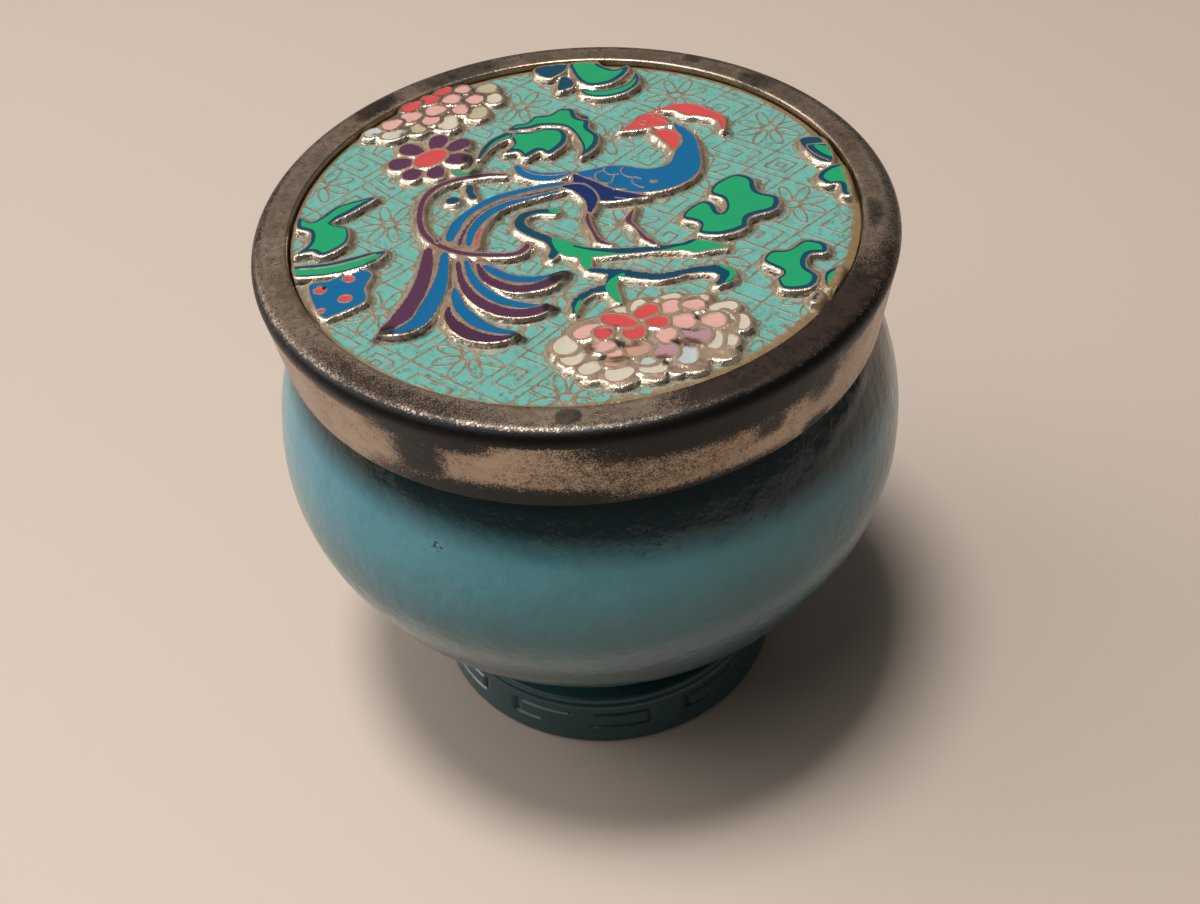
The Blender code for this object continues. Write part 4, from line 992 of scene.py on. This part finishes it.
def enamel_material():
    """Enamel and bare metal, parted by depth, under tarnish, dirt and hatching, with painted glints on the
    slopes that face the front and painted shade along their foot.
    """
    n = Nodes("painted_enamel")
    depth = n.attribute("depth")
    slope = n.attribute("slope")
    ragged = n.ragged(0.16, 0.45, 3.0, 0.6, seed=1.0)
    worn = n.times(n.maths("SUBTRACT", n.noise(1.6, 5.0, 0.7, seed=13.0), 0.56), 1.5)
    ragged = n.maths("SUBTRACT", ragged, n.times(n.attribute("wash"), n.maths("MAXIMUM", worn, 0.0)))
    enamel = n.scale(n.plus(depth, ragged), -0.03, 0.04)

    # Stains, kept lighter on the front-facing slopes where glints are painted.
    stain_and_light, stain_and_light_colour = n.attribute("stain_and_painted_light", "Alpha"), n.attribute("stain_and_painted_light", "Color")
    cloud = n.scale(n.noise(2.2, 4.0, seed=2.0), 0.3, 0.75)
    paint = n.mix(n.times(cloud, 0.14), n.attribute("tint", "Color"), srgb(40, 52, 50))
    speck = n.scale(n.noise(0.3, 2.0, seed=4.0), 0.72, 0.8)
    paint = n.mix(n.times(speck, 0.5), paint, srgb(70, 62, 52))
    mottle = n.times(n.scale(n.noise(0.7, 5.0, 0.75, seed=17.0), 0.5, 0.64), n.attribute("wash"))
    paint = n.mix(n.times(mottle, 0.85), paint, srgb(88, 92, 72))
    wave = n.maths("SINE", n.times(n.attribute("across"), 21.0))
    hatch = n.times(n.scale(wave, 0.0, 0.8), n.attribute("tint", "Alpha"))
    paint = n.mix(hatch, paint, srgb(24, 14, 26))

    tarnish = n.scale(n.noise(1.1, 5.0, 0.7, seed=3.0), 0.36, 0.66)
    # Painted glints: the front-facing slopes turn to bright, smooth metal, broken up by tarnish noise.
    glint_side = n.attribute("glint_side")
    glint_through_tarnish = n.scale(n.plus(glint_side, n.ragged(2.4, 0.7, 4.0, 0.7, seed=15.0)), 0.3, 0.85)
    dull_metal = n.mix(tarnish, srgb(146, 124, 104), srgb(106, 88, 70))
    glint_metal = n.mix(n.times(tarnish, 0.4), srgb(224, 208, 188), srgb(150, 126, 100))
    metal = n.mix(glint_through_tarnish, dull_metal, glint_metal)
    # Painted shade: a dark line along the foot of the front-facing slopes, varied by the tarnish.
    foot_line = n.times(n.scale(slope, -0.34, -0.44), n.scale(slope, -0.62, -0.54))
    front_foot_shade = n.times(n.times(foot_line, glint_side), n.scale(tarnish, 0.0, 0.6, 0.15, 0.9))
    metal = n.mix(front_foot_shade, metal, srgb(62, 50, 40))
    wash = n.times(n.scale(n.noise(0.9, 4.0, 0.65, seed=14.0), 0.44, 0.56), n.scale(slope, -0.36, -0.5))
    metal = n.mix(n.times(wash, 0.85), metal, srgb(104, 138, 122))

    dirt_and_painted_light = n.plus(stain_and_light, n.ragged(0.9, 0.5, 4.0, 0.7, seed=7.0))
    dirt_and_painted_light = n.scale(dirt_and_painted_light, 0.3, 0.75)
    paint = n.mix(0.2, paint, (0.0, 0.0, 0.0))
    colour = n.mix(enamel, metal, paint)
    n.put("Base Color", n.mix(n.times(dirt_and_painted_light, 0.9), colour, stain_and_light_colour))
    bare = n.maths("SUBTRACT", 1.0, enamel)
    shine = n.times(n.scale(dirt_and_painted_light, 0, 1, 1.0, 0.35), n.scale(glint_through_tarnish, 0, 1, 0.3, 1.0))
    shine = n.times(shine, n.scale(wash, 0, 1, 1.0, 0.1))
    n.put("Metallic", n.times(bare, shine))
    metal_rough = n.mix_value(glint_through_tarnish, 0.5, n.scale(tarnish, 0, 1, 0.17, 0.34))
    n.put("Roughness", n.mix_value(enamel, metal_rough, n.scale(cloud, 0, 1, 0.24, 0.4)))
    n.shader.inputs["Specular IOR Level"].default_value = 0.32
    dents = n.plus(n.noise(0.28, 2.0, seed=6.0), n.times(n.noise(1.1, 2.0, seed=18.0), 2.6))
    grain = n.times(dents, n.scale(enamel, 0, 1, n.scale(glint_through_tarnish, 0, 1, 1.2, 2.0), 0.3))
    n.bump(grain, 0.00004, 0.6)
    return n.material


def paint_material():
    """The jar's paint, with painted shade under the lid, greyer, darker paint low down that is partly dirt
    and partly painted shade, dirt and painted shade in the foot's grooves, chips and a fine peel.
    """
    n = Nodes("turquoise_paint")
    cloud = n.noise(14.0, 5.0, 0.6, seed=1.0)
    fine = n.noise(2.0, 4.0, 0.6, seed=2.0)
    base = n.mix(n.scale(cloud, 0.35, 0.7), srgb(72, 132, 146), srgb(80, 142, 152))
    base = n.mix(n.scale(fine, 0.55, 0.8, 0.0, 0.25), base, srgb(40, 94, 108))
    level = n.along("Z")
    # Greyer, darker paint towards the bottom: partly dirt, partly painted shade.
    low_dirt_and_shade = n.scale(n.plus(level, n.times(cloud, 8.0)), 54.0, 37.0, 0.0, 0.78)
    base = n.mix(low_dirt_and_shade, base, srgb(36, 46, 44))
    # Painted shade: near-black paint under the lid's rim, where the lid's shadow falls, reaching further down
    # towards +X.
    shifted = n.plus(level, n.times(n.along("X"), 0.07))
    lid_painted_shade = n.scale(n.plus(shifted, fine), 53.0, 57.0, 0.0, 0.9)
    base = n.mix(lid_painted_shade, base, srgb(8, 18, 22))
    wear = n.attribute("wear")
    grime = n.scale(n.noise(0.45, 2.0, seed=5.0), 0.5, 0.56)
    chips = n.scale(n.plus(n.times(wear, 0.22), n.noise(0.8, 3.0, 0.7, seed=8.0)), 0.735, 0.755)
    base = n.mix(n.times(n.times(chips, grime), 0.9), base, srgb(30, 26, 24))
    spot = n.scale(n.noise(1.6, 2.0, seed=11.0), 0.735, 0.75)
    base = n.mix(n.times(spot, 0.75), base, srgb(70, 74, 66))
    # Dark paint in the foot's grooves: partly dirt, partly painted shade in the recesses.
    n.put("Base Color", n.mix(n.times(n.attribute("groove"), 0.8), base, srgb(14, 34, 40)))
    n.put("Roughness", n.scale(fine, 0.3, 0.8, 0.14, 0.24))
    peel = n.plus(n.noise(1.2, 2.0, seed=3.0), n.times(n.noise(3.4, 2.0, seed=9.0), 0.4))
    peel = n.times(peel, n.scale(level, 22.0, 38.0, 0.06, 1.0))
    n.bump(n.maths("SUBTRACT", peel, n.times(chips, 0.6)), 0.00017, 0.6)
    return n.material


def nickel_material():
    """The rim's worn nickel plate, with tarnish and a painted dark reflection on the front of the roundover.
    """
    n = Nodes("tarnished_nickel")
    cloud = n.noise(9.0, 6.0, 0.65, seed=1.0)
    fine = n.noise(0.7, 4.0, 0.65, seed=2.0)
    grit = n.noise(0.35, 3.0, 0.7, seed=4.0)
    base = n.mix(n.scale(cloud, 0.4, 0.7), srgb(182, 163, 143), srgb(150, 128, 108))
    patches = n.scale(n.noise(3.2, 5.0, 0.7, seed=12.0), 0.44, 0.6, 0.12, 1.0)
    spots = n.times(n.scale(grit, 0.53, 0.6), patches)
    base = n.mix(n.times(spots, 0.75), base, srgb(64, 52, 42))
    # The stain values carry the tarnish and a painted dark reflection on the front of the roundover.
    stain_and_light, stain_and_light_colour = n.attribute("stain_and_painted_light", "Alpha"), n.attribute("stain_and_painted_light", "Color")
    ragged = n.ragged(1.2, 0.9, 6.0, 0.8, seed=6.0)
    peppered = n.ragged(1.6, 0.2, 2.0, 0.6, seed=16.0)
    dirt_and_painted_light = n.scale(n.plus(n.plus(stain_and_light, ragged), peppered), 0.1, 0.56)
    dirt_and_painted_light = n.times(dirt_and_painted_light, n.scale(stain_and_light, 0.02, 0.3))
    blotch = n.scale(n.noise(1.4, 5.0, 0.75, seed=19.0), 0.46, 0.6, 0.0, 0.65)
    n.put("Base Color", n.mix(dirt_and_painted_light, base, n.mix(blotch, stain_and_light_colour, srgb(14, 11, 9))))
    n.put("Metallic", n.scale(dirt_and_painted_light, 0, 1, 1.0, 0.5))
    n.put("Roughness", n.mix_value(dirt_and_painted_light, n.scale(fine, 0.3, 0.8, 0.27, 0.46), 0.42))
    relief_height = n.maths("SUBTRACT", n.noise(0.5, 3.0, seed=3.0), n.times(spots, 0.5))
    n.bump(relief_height, 0.00005, 0.5)
    return n.material


# Turned pieces

def arc(centre, radius, start, end, steps):
    """Profile points along an arc between two angles in degrees."""
    angles = [math.radians(start + (end - start) * step / steps) for step in range(steps + 1)]
    return [(centre[0] + radius * math.cos(angle), centre[1] + radius * math.sin(angle)) for angle in angles]


def run(start, end, length):
    """Points between two profile points, about a length apart, without the first."""
    count = max(1, round(math.dist(start, end) / length))
    return [(start[0] + (end[0] - start[0]) * step / count, start[1] + (end[1] - start[1]) * step / count)
            for step in range(1, count + 1)]


def turned_mesh(name, profile, around, shape_change=None):
    """Turn a profile of (radius, height) points, both ends on the axis, into a closed body."""
    count = len(profile)
    angles = np.arange(around) * math.tau / around
    radii = np.array([point[0] for point in profile[1:-1]])
    heights = np.array([point[1] for point in profile[1:-1]])
    radius = np.tile(radii, (around, 1))
    height = np.tile(heights, (around, 1))
    angle = np.tile(angles[:, None], (1, count - 2))
    if shape_change:
        radius, height = shape_change(radius, height, angle)
    ring = count - 2
    coords = np.stack([radius * np.cos(angle), radius * np.sin(angle), height], 2).reshape(-1, 3)
    coords = np.vstack([coords, [[0, 0, profile[0][1]], [0, 0, profile[-1][1]]]]) * MM
    first, last = around * ring, around * ring + 1
    faces = []
    for turn in range(around):
        here, following = turn * ring, (turn + 1) % around * ring
        faces.append((first, following, here))
        faces.append((last, here + ring - 1, following + ring - 1))
        for place in range(ring - 1):
            faces.append((here + place, following + place, following + place + 1, here + place + 1))
    mesh = bpy.data.meshes.new(name)
    mesh.from_pydata([tuple(co) for co in coords], [], faces)
    shape = bmesh.new()
    shape.from_mesh(mesh)
    bmesh.ops.recalc_face_normals(shape, faces=shape.faces[:])
    shape.to_mesh(mesh)
    shape.free()
    return mesh


# Sizes of the jar and the lid that the nodes' boxes don't give, as in the part's source
FOOT_RADIUS, FOOT_HEIGHT, FOOT_TAPER, FOOT_WALL, FOOT_ROUND = 24.4, 8.6, 0.8, 2.0, 0.5
GROOVE_DROP, GROOVE_WIDTH, GROOVE_DEPTH = 1.2, 0.7, 0.4
WAIST_RADIUS, WAIST_TOP, BOWL_ROOT = 19.0, 13.6, 16.1
BELLY_RISE, BELLY_FULLNESS, SHOULDER_RISE, SHOULDER_FALL = 28.2, 1.68, 19.0, 2.08
MOUTH_RADIUS, JAR_WALL, MOUTH_ROUND = 34.6, 1.5, 0.5
LID_PLAY, LID_WALL, LID_ROUND, BEZEL_WIDTH, SKIRT_ROUND, RECESS_ROUND = 0.7, 1.4, 1.6, 4.4, 0.7, 0.3
DECK_GAP, DECK_THICKNESS = 0.3, 1.0


def bowl_side(steps):
    """Profile of the outside from the waist up to the widest line."""
    span = BELLY_RADIUS - BOWL_ROOT
    share = (WAIST_RADIUS - BOWL_ROOT) / span
    start = 1 - (1 - share ** BELLY_FULLNESS) ** (1 / BELLY_FULLNESS)
    points = []
    for step in range(steps + 1):
        along = start + (1 - start) * (step / steps) ** 1.3
        reach = (1 - (1 - along) ** BELLY_FULLNESS) ** (1 / BELLY_FULLNESS)
        points.append((BOWL_ROOT + span * reach, WAIST_TOP + BELLY_RISE * along))
    return points


def shoulder_side(steps):
    """Profile of the outside from the widest line up to the mouth."""
    belly = WAIST_TOP + BELLY_RISE
    points = []
    for step in range(1, steps + 1):
        along = step / steps
        points.append((BELLY_RADIUS - (BELLY_RADIUS - MOUTH_RADIUS) * along ** SHOULDER_FALL,
                       belly + SHOULDER_RISE * along))
    return points


def inset_profile(points, depth):
    """A profile moved inwards by the thickness of a wall."""
    moved = []
    for index, (radius, height) in enumerate(points):
        before = points[max(index - 1, 0)]
        after = points[min(index + 1, len(points) - 1)]
        along, up = after[0] - before[0], after[1] - before[1]
        length = math.hypot(along, up)
        moved.append((radius - depth * up / length, height + depth * along / length))
    return moved


def vertex_places(mesh):
    """Place of each point of a turned mesh: radius, angle in degrees and height."""
    places = np.empty(3 * len(mesh.vertices), np.float32)
    mesh.vertices.foreach_get("co", places)
    x, y, height = places.reshape(-1, 3).T / MM
    return np.hypot(x, y), np.degrees(np.arctan2(y, x)), height


def make_jar():
    """The jar, turned in one piece: hollow foot, cove, belly, mouth and inside."""
    groove = FOOT_HEIGHT - GROOVE_DROP
    top_radius = FOOT_RADIUS - FOOT_TAPER
    recess_radius = FOOT_RADIUS - FOOT_WALL
    stem = WAIST_RADIUS - FOOT_WALL
    floor_low = WAIST_TOP - FOOT_ROUND
    floor_top = floor_low + JAR_WALL
    underside = [(0, floor_low), (stem - 0.6, floor_low), (stem, floor_low - 0.6),
                 (stem, FOOT_HEIGHT + 0.6), (stem + 0.6, FOOT_HEIGHT),
                 (recess_radius - FOOT_TAPER, FOOT_HEIGHT - FOOT_WALL), (recess_radius, 0)]
    foot = arc((FOOT_RADIUS - FOOT_ROUND, FOOT_ROUND), FOOT_ROUND, -90, 0, 4)
    band_low, band_high = foot[-1][1], groove - GROOVE_WIDTH / 2
    for height in FRET_ROWS + [band_high]:
        foot.append((FOOT_RADIUS - FOOT_TAPER * (height - band_low) / (band_high - band_low), height))
    foot += [(top_radius - GROOVE_DEPTH, groove - 0.08), (top_radius - GROOVE_DEPTH, groove + 0.08),
             (top_radius, groove + GROOVE_WIDTH / 2)]
    foot += arc((top_radius - FOOT_ROUND, FOOT_HEIGHT - FOOT_ROUND), FOOT_ROUND, 0, 90, 4)
    cove_radius = (top_radius - WAIST_RADIUS) / 3
    cove = arc((WAIST_RADIUS + cove_radius, FOOT_HEIGHT + cove_radius), cove_radius, 270, 180, 8)
    outside = bowl_side(64) + shoulder_side(28)
    mouth = arc((MOUTH_RADIUS - MOUTH_ROUND, MOUTH_TOP - MOUTH_ROUND), MOUTH_ROUND, 0, 90, 4)
    bore = [(MOUTH_RADIUS - JAR_WALL, MOUTH_TOP)]
    inside = inset_profile(bowl_side(24) + shoulder_side(10), JAR_WALL)
    inside = [point for point in inside if point[1] > floor_top + JAR_WALL / 2]
    inside = inside[::-1] + [(WAIST_RADIUS - JAR_WALL, floor_top), (0, floor_top)]
    mesh = turned_mesh("jar", underside + foot + cove + outside + mouth + bore + inside, 360,
                       jar_unevenness)
    places = vertex_places(mesh)
    add_values(mesh, "wear", jar_wear(places))
    add_values(mesh, "groove", jar_grooves(places))
    return add_piece("jar", mesh, paint_material(), "jar_body", 50)


# Key fret engraved round the foot: two rows of grooves, joined by upright ones into facing hooks
FRET_UPPER, FRET_LOWER, FRET_PERIOD, FRET_START = 5.4, 3.1, 60, -126
FRET_DEPTH = 0.34
FRET_ROWS = [1.0, 1.9, 2.6, 2.78, 2.9, 3.0, 3.2, 3.3, 3.42, 3.6, 4.2, 4.8, 5.08, 5.2, 5.3, 5.5, 5.6, 5.72,
             5.9, 6.4]


def fret_groove(degrees, height):
    """Depth of the key fret at a place on the foot."""
    along = (degrees - FRET_START) % FRET_PERIOD
    upper = ((along < 20.5) | (along > 28.5)) & (along < 47.5)
    lower = ((along < 11) | (along > 26.5)) & (along < 47.5)
    row_upper = np.clip(1.5 - np.abs(height - FRET_UPPER) / 0.2, 0, 1) * upper
    row_lower = np.clip(1.5 - np.abs(height - FRET_LOWER) / 0.2, 0, 1) * lower
    upright = (along < 1.1) | (np.abs(along - 46.9) < 0.6)
    upright = upright & (height > FRET_LOWER) & (height < FRET_UPPER)
    return FRET_DEPTH * np.maximum(np.maximum(row_upper, row_lower), upright)


# Places where the paint is chipped or lumpy: angle, height, half sizes in degrees and millimetres
CHIPPED = [(-82, 55.5, 5, 2.4), (-63, 54.8, 4, 1.6), (-98, 57, 3, 2), (-119, 53.5, 2, 1.2), (-50, 58, 5, 2),
           (-84, 32, 5, 1.5), (60, 50, 8, 4), (130, 28, 10, 3), (170, 55, 6, 3)]
LUMPS = [(-38, 57.6, 5, 0.9, 0.22), (-30, 58.4, 6, 0.9, 0.26), (-22, 59.0, 4, 0.8, 0.2),
         (-45, 56.4, 3, 0.7, 0.18), (-70, 52.6, 2.2, 0.8, 0.12), (-57, 53.4, 2.4, 0.8, 0.12),
         (-150, 30, 2, 1.2, 0.1)]


def jar_wear(places):
    """How worn the paint is at each point, from 0 to 1."""
    radius, angle, height = places
    wear = np.zeros(len(radius))
    for centre, level, half_angle, half_height in CHIPPED:
        round_way = ((angle - centre + 180) % 360 - 180) / half_angle
        reach = np.hypot(round_way, (height - level) / half_height)
        wear = np.maximum(wear, np.clip(1.5 - reach, 0, 1))
    edge = np.clip(1 - np.abs(height - 0.4) / 1.2, 0, 1) * (radius > FOOT_RADIUS - 1.0)
    return np.maximum(wear, 0.8 * edge)


def jar_grooves(places):
    """How deep in the ring or the fret of the foot each point lies, from 0 to 1."""
    radius, angle, height = places
    outside = (radius > FOOT_RADIUS - 1.4) & (height > 2) & (height < FOOT_HEIGHT - 0.3)
    fret = fret_groove(angle, height) / FRET_DEPTH * (height < 6.6)
    ring = np.clip(1.3 - np.abs(height - FOOT_HEIGHT + GROOVE_DROP) / 0.25, 0, 1)
    return np.maximum(fret, ring) * outside


def jar_unevenness(radius, height, angle):
    """Thick, uneven paint: gentle waves, lumps at the right of the shoulder, and the fret of the foot."""
    outer = (radius > WAIST_RADIUS + 0.5) & (height > FOOT_HEIGHT + 0.8) & (height < MOUTH_TOP - 8)
    side = radius + 0.8 > np.interp(height, [8, 20, 42, 61, 70], [18, 26, 38, 33.4, 33.4])
    round_places = zip(radius.ravel(), height.ravel(), angle.ravel())
    spots = [Vector((r * math.cos(turn), r * math.sin(turn), level)) for r, level, turn in round_places]
    broad = np.array([noise.noise(spot / 5.0) for spot in spots]).reshape(radius.shape)
    close = np.array([noise.noise(spot / 1.9 + Vector((7, 0, 0))) for spot in spots]).reshape(radius.shape)
    degrees = (np.degrees(angle) + 180) % 360 - 180
    lumps = np.zeros_like(radius)
    for centre, level, half_angle, half_height, rise in LUMPS:
        reach = np.hypot((degrees - centre) / half_angle, (height - level) / half_height)
        lumps = np.maximum(lumps, rise * np.clip(1.3 - reach, 0, 1))
    amount = (0.09 * broad + 0.045 * close + lumps) * outer * side
    band = (radius > FOOT_RADIUS - FOOT_TAPER - 0.05) & (height > 2) & (height < 6.6)
    return radius + amount - fret_groove(degrees, height) * band, height


# Tarnish of the rim, and a painted dark reflection along the front of the roundover: colour, strength, angle
# round the rim, distance down from the recess, half sizes
DARK_BROWN, SOOT_AND_DARK_REFLECTION, GREY_BROWN = srgb(52, 38, 31), srgb(8, 6, 5), srgb(72, 64, 54)
RIM_STAINS_AND_REFLECTION = [(DARK_BROWN, 1.2, -50, 1.4, 23, 2.4), (GREY_BROWN, 1.3, -93.7, 1.7, 1.8, 1.0),
              (SOOT_AND_DARK_REFLECTION, 0.95, -117, 5.6, 10, 1.9), (SOOT_AND_DARK_REFLECTION, 0.75, -119.5, 9.5, 4.5, 4.5),
              (SOOT_AND_DARK_REFLECTION, 1.0, -106, 15.4, 20, 2.6), (SOOT_AND_DARK_REFLECTION, 1.0, -69, 6.0, 22, 2.8),
              (DARK_BROWN, 0.7, -60, 9.6, 3.0, 2.0), (SOOT_AND_DARK_REFLECTION, 0.8, -48.5, 7.0, 3.2, 3.4),
              (SOOT_AND_DARK_REFLECTION, 0.9, -48.5, 15.6, 3.0, 1.6), (SOOT_AND_DARK_REFLECTION, 0.85, -74, 15.9, 18, 1.4),
              # The first entry on the line below is a painted reflection: the dark band that the front of the
              # rounded edge mirrors from dark surroundings.
              (SOOT_AND_DARK_REFLECTION, 1.1, -90, 4.6, 66, 1.0), (DARK_BROWN, 0.3, -84, 10.5, 20, 4.5),
              (SOOT_AND_DARK_REFLECTION, 0.7, -40, 5.2, 7, 1.2), (SOOT_AND_DARK_REFLECTION, 0.7, -132, 5.0, 12, 1.3),
              (SOOT_AND_DARK_REFLECTION, 0.8, -165, 5.0, 26, 1.0), (DARK_BROWN, 0.5, 172, 3.6, 22, 0.7),
              (DARK_BROWN, 0.6, -24, 3.2, 10, 1.6), (DARK_BROWN, 0.55, -125, 2.2, 22, 1.8),
              (SOOT_AND_DARK_REFLECTION, 0.5, -60, 3.4, 12, 0.6), (SOOT_AND_DARK_REFLECTION, 0.45, -82, 3.3, 8, 0.5),
              (GREY_BROWN, 1.0, 45, 1.6, 4, 1.4), (GREY_BROWN, 0.9, 61, 2.4, 2, 1.0),
              (GREY_BROWN, 0.8, 112, 1.8, 10, 1.7), (DARK_BROWN, 0.8, 133, 2.0, 6, 1.5),
              (GREY_BROWN, 0.8, -9, 1.4, 4.5, 1.0), (GREY_BROWN, 0.55, 0, 3.4, 180, 0.9),
              (SOOT_AND_DARK_REFLECTION, 0.7, 72, 8.0, 16, 3.4), (SOOT_AND_DARK_REFLECTION, 0.8, 150, 14.2, 12, 2.6),
              (SOOT_AND_DARK_REFLECTION, 0.6, 12, 14.6, 14, 2.2), (DARK_BROWN, 0.6, 105, 12, 9, 3.0),
              (SOOT_AND_DARK_REFLECTION, 0.45, 0, 16.0, 180, 0.9)]


def rim_stains_and_reflection(places):
    """Tarnish and painted dark reflection at each point of the rim, as a colour and a strength."""
    radius, angle, height = places
    recess, skirt_top, round_start = LID_RADIUS - BEZEL_WIDTH, LID_TOP - LID_ROUND, LID_RADIUS - LID_ROUND
    turn = math.pi / 2 - np.arctan2(height - skirt_top, np.maximum(radius - round_start, 1e-6))
    down = np.where(radius < round_start, radius - recess, round_start - recess + LID_ROUND * turn)
    skirt_down = round_start - recess + LID_ROUND * math.pi / 2 + skirt_top - height
    down = np.where(height < skirt_top, skirt_down, down)
    values = np.zeros((len(radius), 4))
    for colour, strength, centre, depth, half_angle, half_depth in RIM_STAINS_AND_REFLECTION:
        round_way = np.abs((angle - centre + 180) % 360 - 180) / half_angle
        down_way = np.abs(down - depth) / half_depth
        reach = 0.5 * np.maximum(round_way, down_way) + 0.5 * np.hypot(round_way, down_way)
        lay_colour(values, colour, strength * np.clip(1.55 - reach, 0, 1))
    values[radius < recess - 0.5, 3] = 0
    return values


def make_lid_rim():
    """The lid's metal cap: deck, skirt, rounded bezel and the recess for the plaque."""
    inner = MOUTH_RADIUS + LID_PLAY
    skirt = inner + LID_WALL
    recess = LID_RADIUS - BEZEL_WIDTH
    deck_low = MOUTH_TOP + DECK_GAP
    deck_top = deck_low + DECK_THICKNESS
    profile = [(0, deck_low)] + run((0, deck_low), (inner - DECK_GAP, deck_low), 4.0)
    profile.append((inner, deck_low - DECK_GAP))
    profile += run(profile[-1], (inner, SKIRT_BOTTOM + 0.2), 1.2)
    profile += arc((skirt - SKIRT_ROUND, SKIRT_BOTTOM + SKIRT_ROUND), SKIRT_ROUND, -100, 0, 7)
    profile += run(profile[-1], (LID_RADIUS, LID_TOP - LID_ROUND), 0.6)
    profile += arc((LID_RADIUS - LID_ROUND, LID_TOP - LID_ROUND), LID_ROUND, 0, 90, 10)[1:]
    profile += run(profile[-1], (recess + RECESS_ROUND, LID_TOP), 0.5)
    profile += arc((recess + RECESS_ROUND, LID_TOP - RECESS_ROUND), RECESS_ROUND, 90, 180, 3)[1:]
    profile += [(recess, deck_top)] + run((recess, deck_top), (0, deck_top), 5.0)
    mesh = turned_mesh("lid_cap", profile, 360)
    add_values(mesh, "stain_and_painted_light", rim_stains_and_reflection(vertex_places(mesh)))
    return add_piece("lid_cap", mesh, nickel_material(), "lid_rim", 50)


# Camera, floor and light

def make_camera():
    """Stands where the photographer's camera stood: above the front, tipped down and rolled a little."""
    elevation, roll = math.radians(38.83547), math.radians(4.89613)
    pan, tilt, distance = 0.00384, 0.10352, 0.1860789
    target = Vector((0, 0, 0.060))
    back = Vector((0, -math.cos(elevation), math.sin(elevation)))
    up = Vector((0, math.sin(elevation), math.cos(elevation)))
    base = Matrix(((1, up.x, back.x), (0, up.y, back.y), (0, up.z, back.z)))
    turn = Matrix.Rotation(roll, 3, "Z") @ Matrix.Rotation(tilt, 3, "X") @ Matrix.Rotation(pan, 3, "Y")
    data = bpy.data.cameras.new("camera")
    data.lens = 45.0
    data.sensor_width = 36.0
    data.sensor_fit = "HORIZONTAL"
    data.clip_start = 0.01
    camera = bpy.data.objects.new("camera", data)
    camera.matrix_world = Matrix.Translation(target + distance * back) @ (base @ turn.transposed()).to_4x4()
    bpy.context.scene.collection.objects.link(camera)
    bpy.context.scene.camera = camera


def add_light(name, place, aim, size, power, colour):
    """A round lamp that points at a place."""
    data = bpy.data.lights.new(name, "AREA")
    data.shape = "DISK"
    data.size = size
    data.energy = power
    data.color = colour
    light = bpy.data.objects.new(name, data)
    light.location = place
    light.rotation_mode = "QUATERNION"
    light.rotation_quaternion = (Vector(place) - Vector(aim)).to_track_quat("Z", "Y")
    bpy.context.scene.collection.objects.link(light)


def make_surroundings():
    """Pale floor, dim world and four soft lamps."""
    mesh = bpy.data.meshes.new("floor")
    side = 3.0
    mesh.from_pydata([(-side, -side, 0), (side, -side, 0), (side, side, 0), (-side, side, 0)], [],
                     [(0, 1, 2, 3)])
    n = Nodes("pale_floor")
    n.put("Base Color", srgb(178, 164, 152))
    n.put("Roughness", 0.5)
    mesh.materials.append(n.material)
    floor = bpy.data.objects.new("floor", mesh)
    bpy.context.scene.collection.objects.link(floor)
    world = bpy.data.worlds.new("studio")
    world.use_nodes = True
    background = world.node_tree.nodes["Background"]
    background.inputs["Color"].default_value = (1.0, 0.95, 0.9, 1.0)
    background.inputs["Strength"].default_value = 0.09
    bpy.context.scene.world = world
    add_light("key", (-0.11, -0.005, 0.95), (0, 0, 0.05), 0.22, 7.8, (1.0, 0.97, 0.94))
    add_light("ceiling", (-0.46, -0.04, 0.92), (0, 0, 0.05), 1.2, 5.6, (1.0, 0.97, 0.94))
    add_light("back", (-0.15, 0.95, 0.75), (0, 0, 0.06), 1.1, 0.35, (1.0, 0.96, 0.92))
    add_light("left", (-0.80, 0.26, 0.55), (0, 0, 0.04), 0.6, 3.4, (1.0, 0.98, 0.96))
    bpy.context.scene.view_settings.view_transform = "Standard"


make_camera()
make_jar()
make_lid_rim()
make_plaque()
make_surroundings()
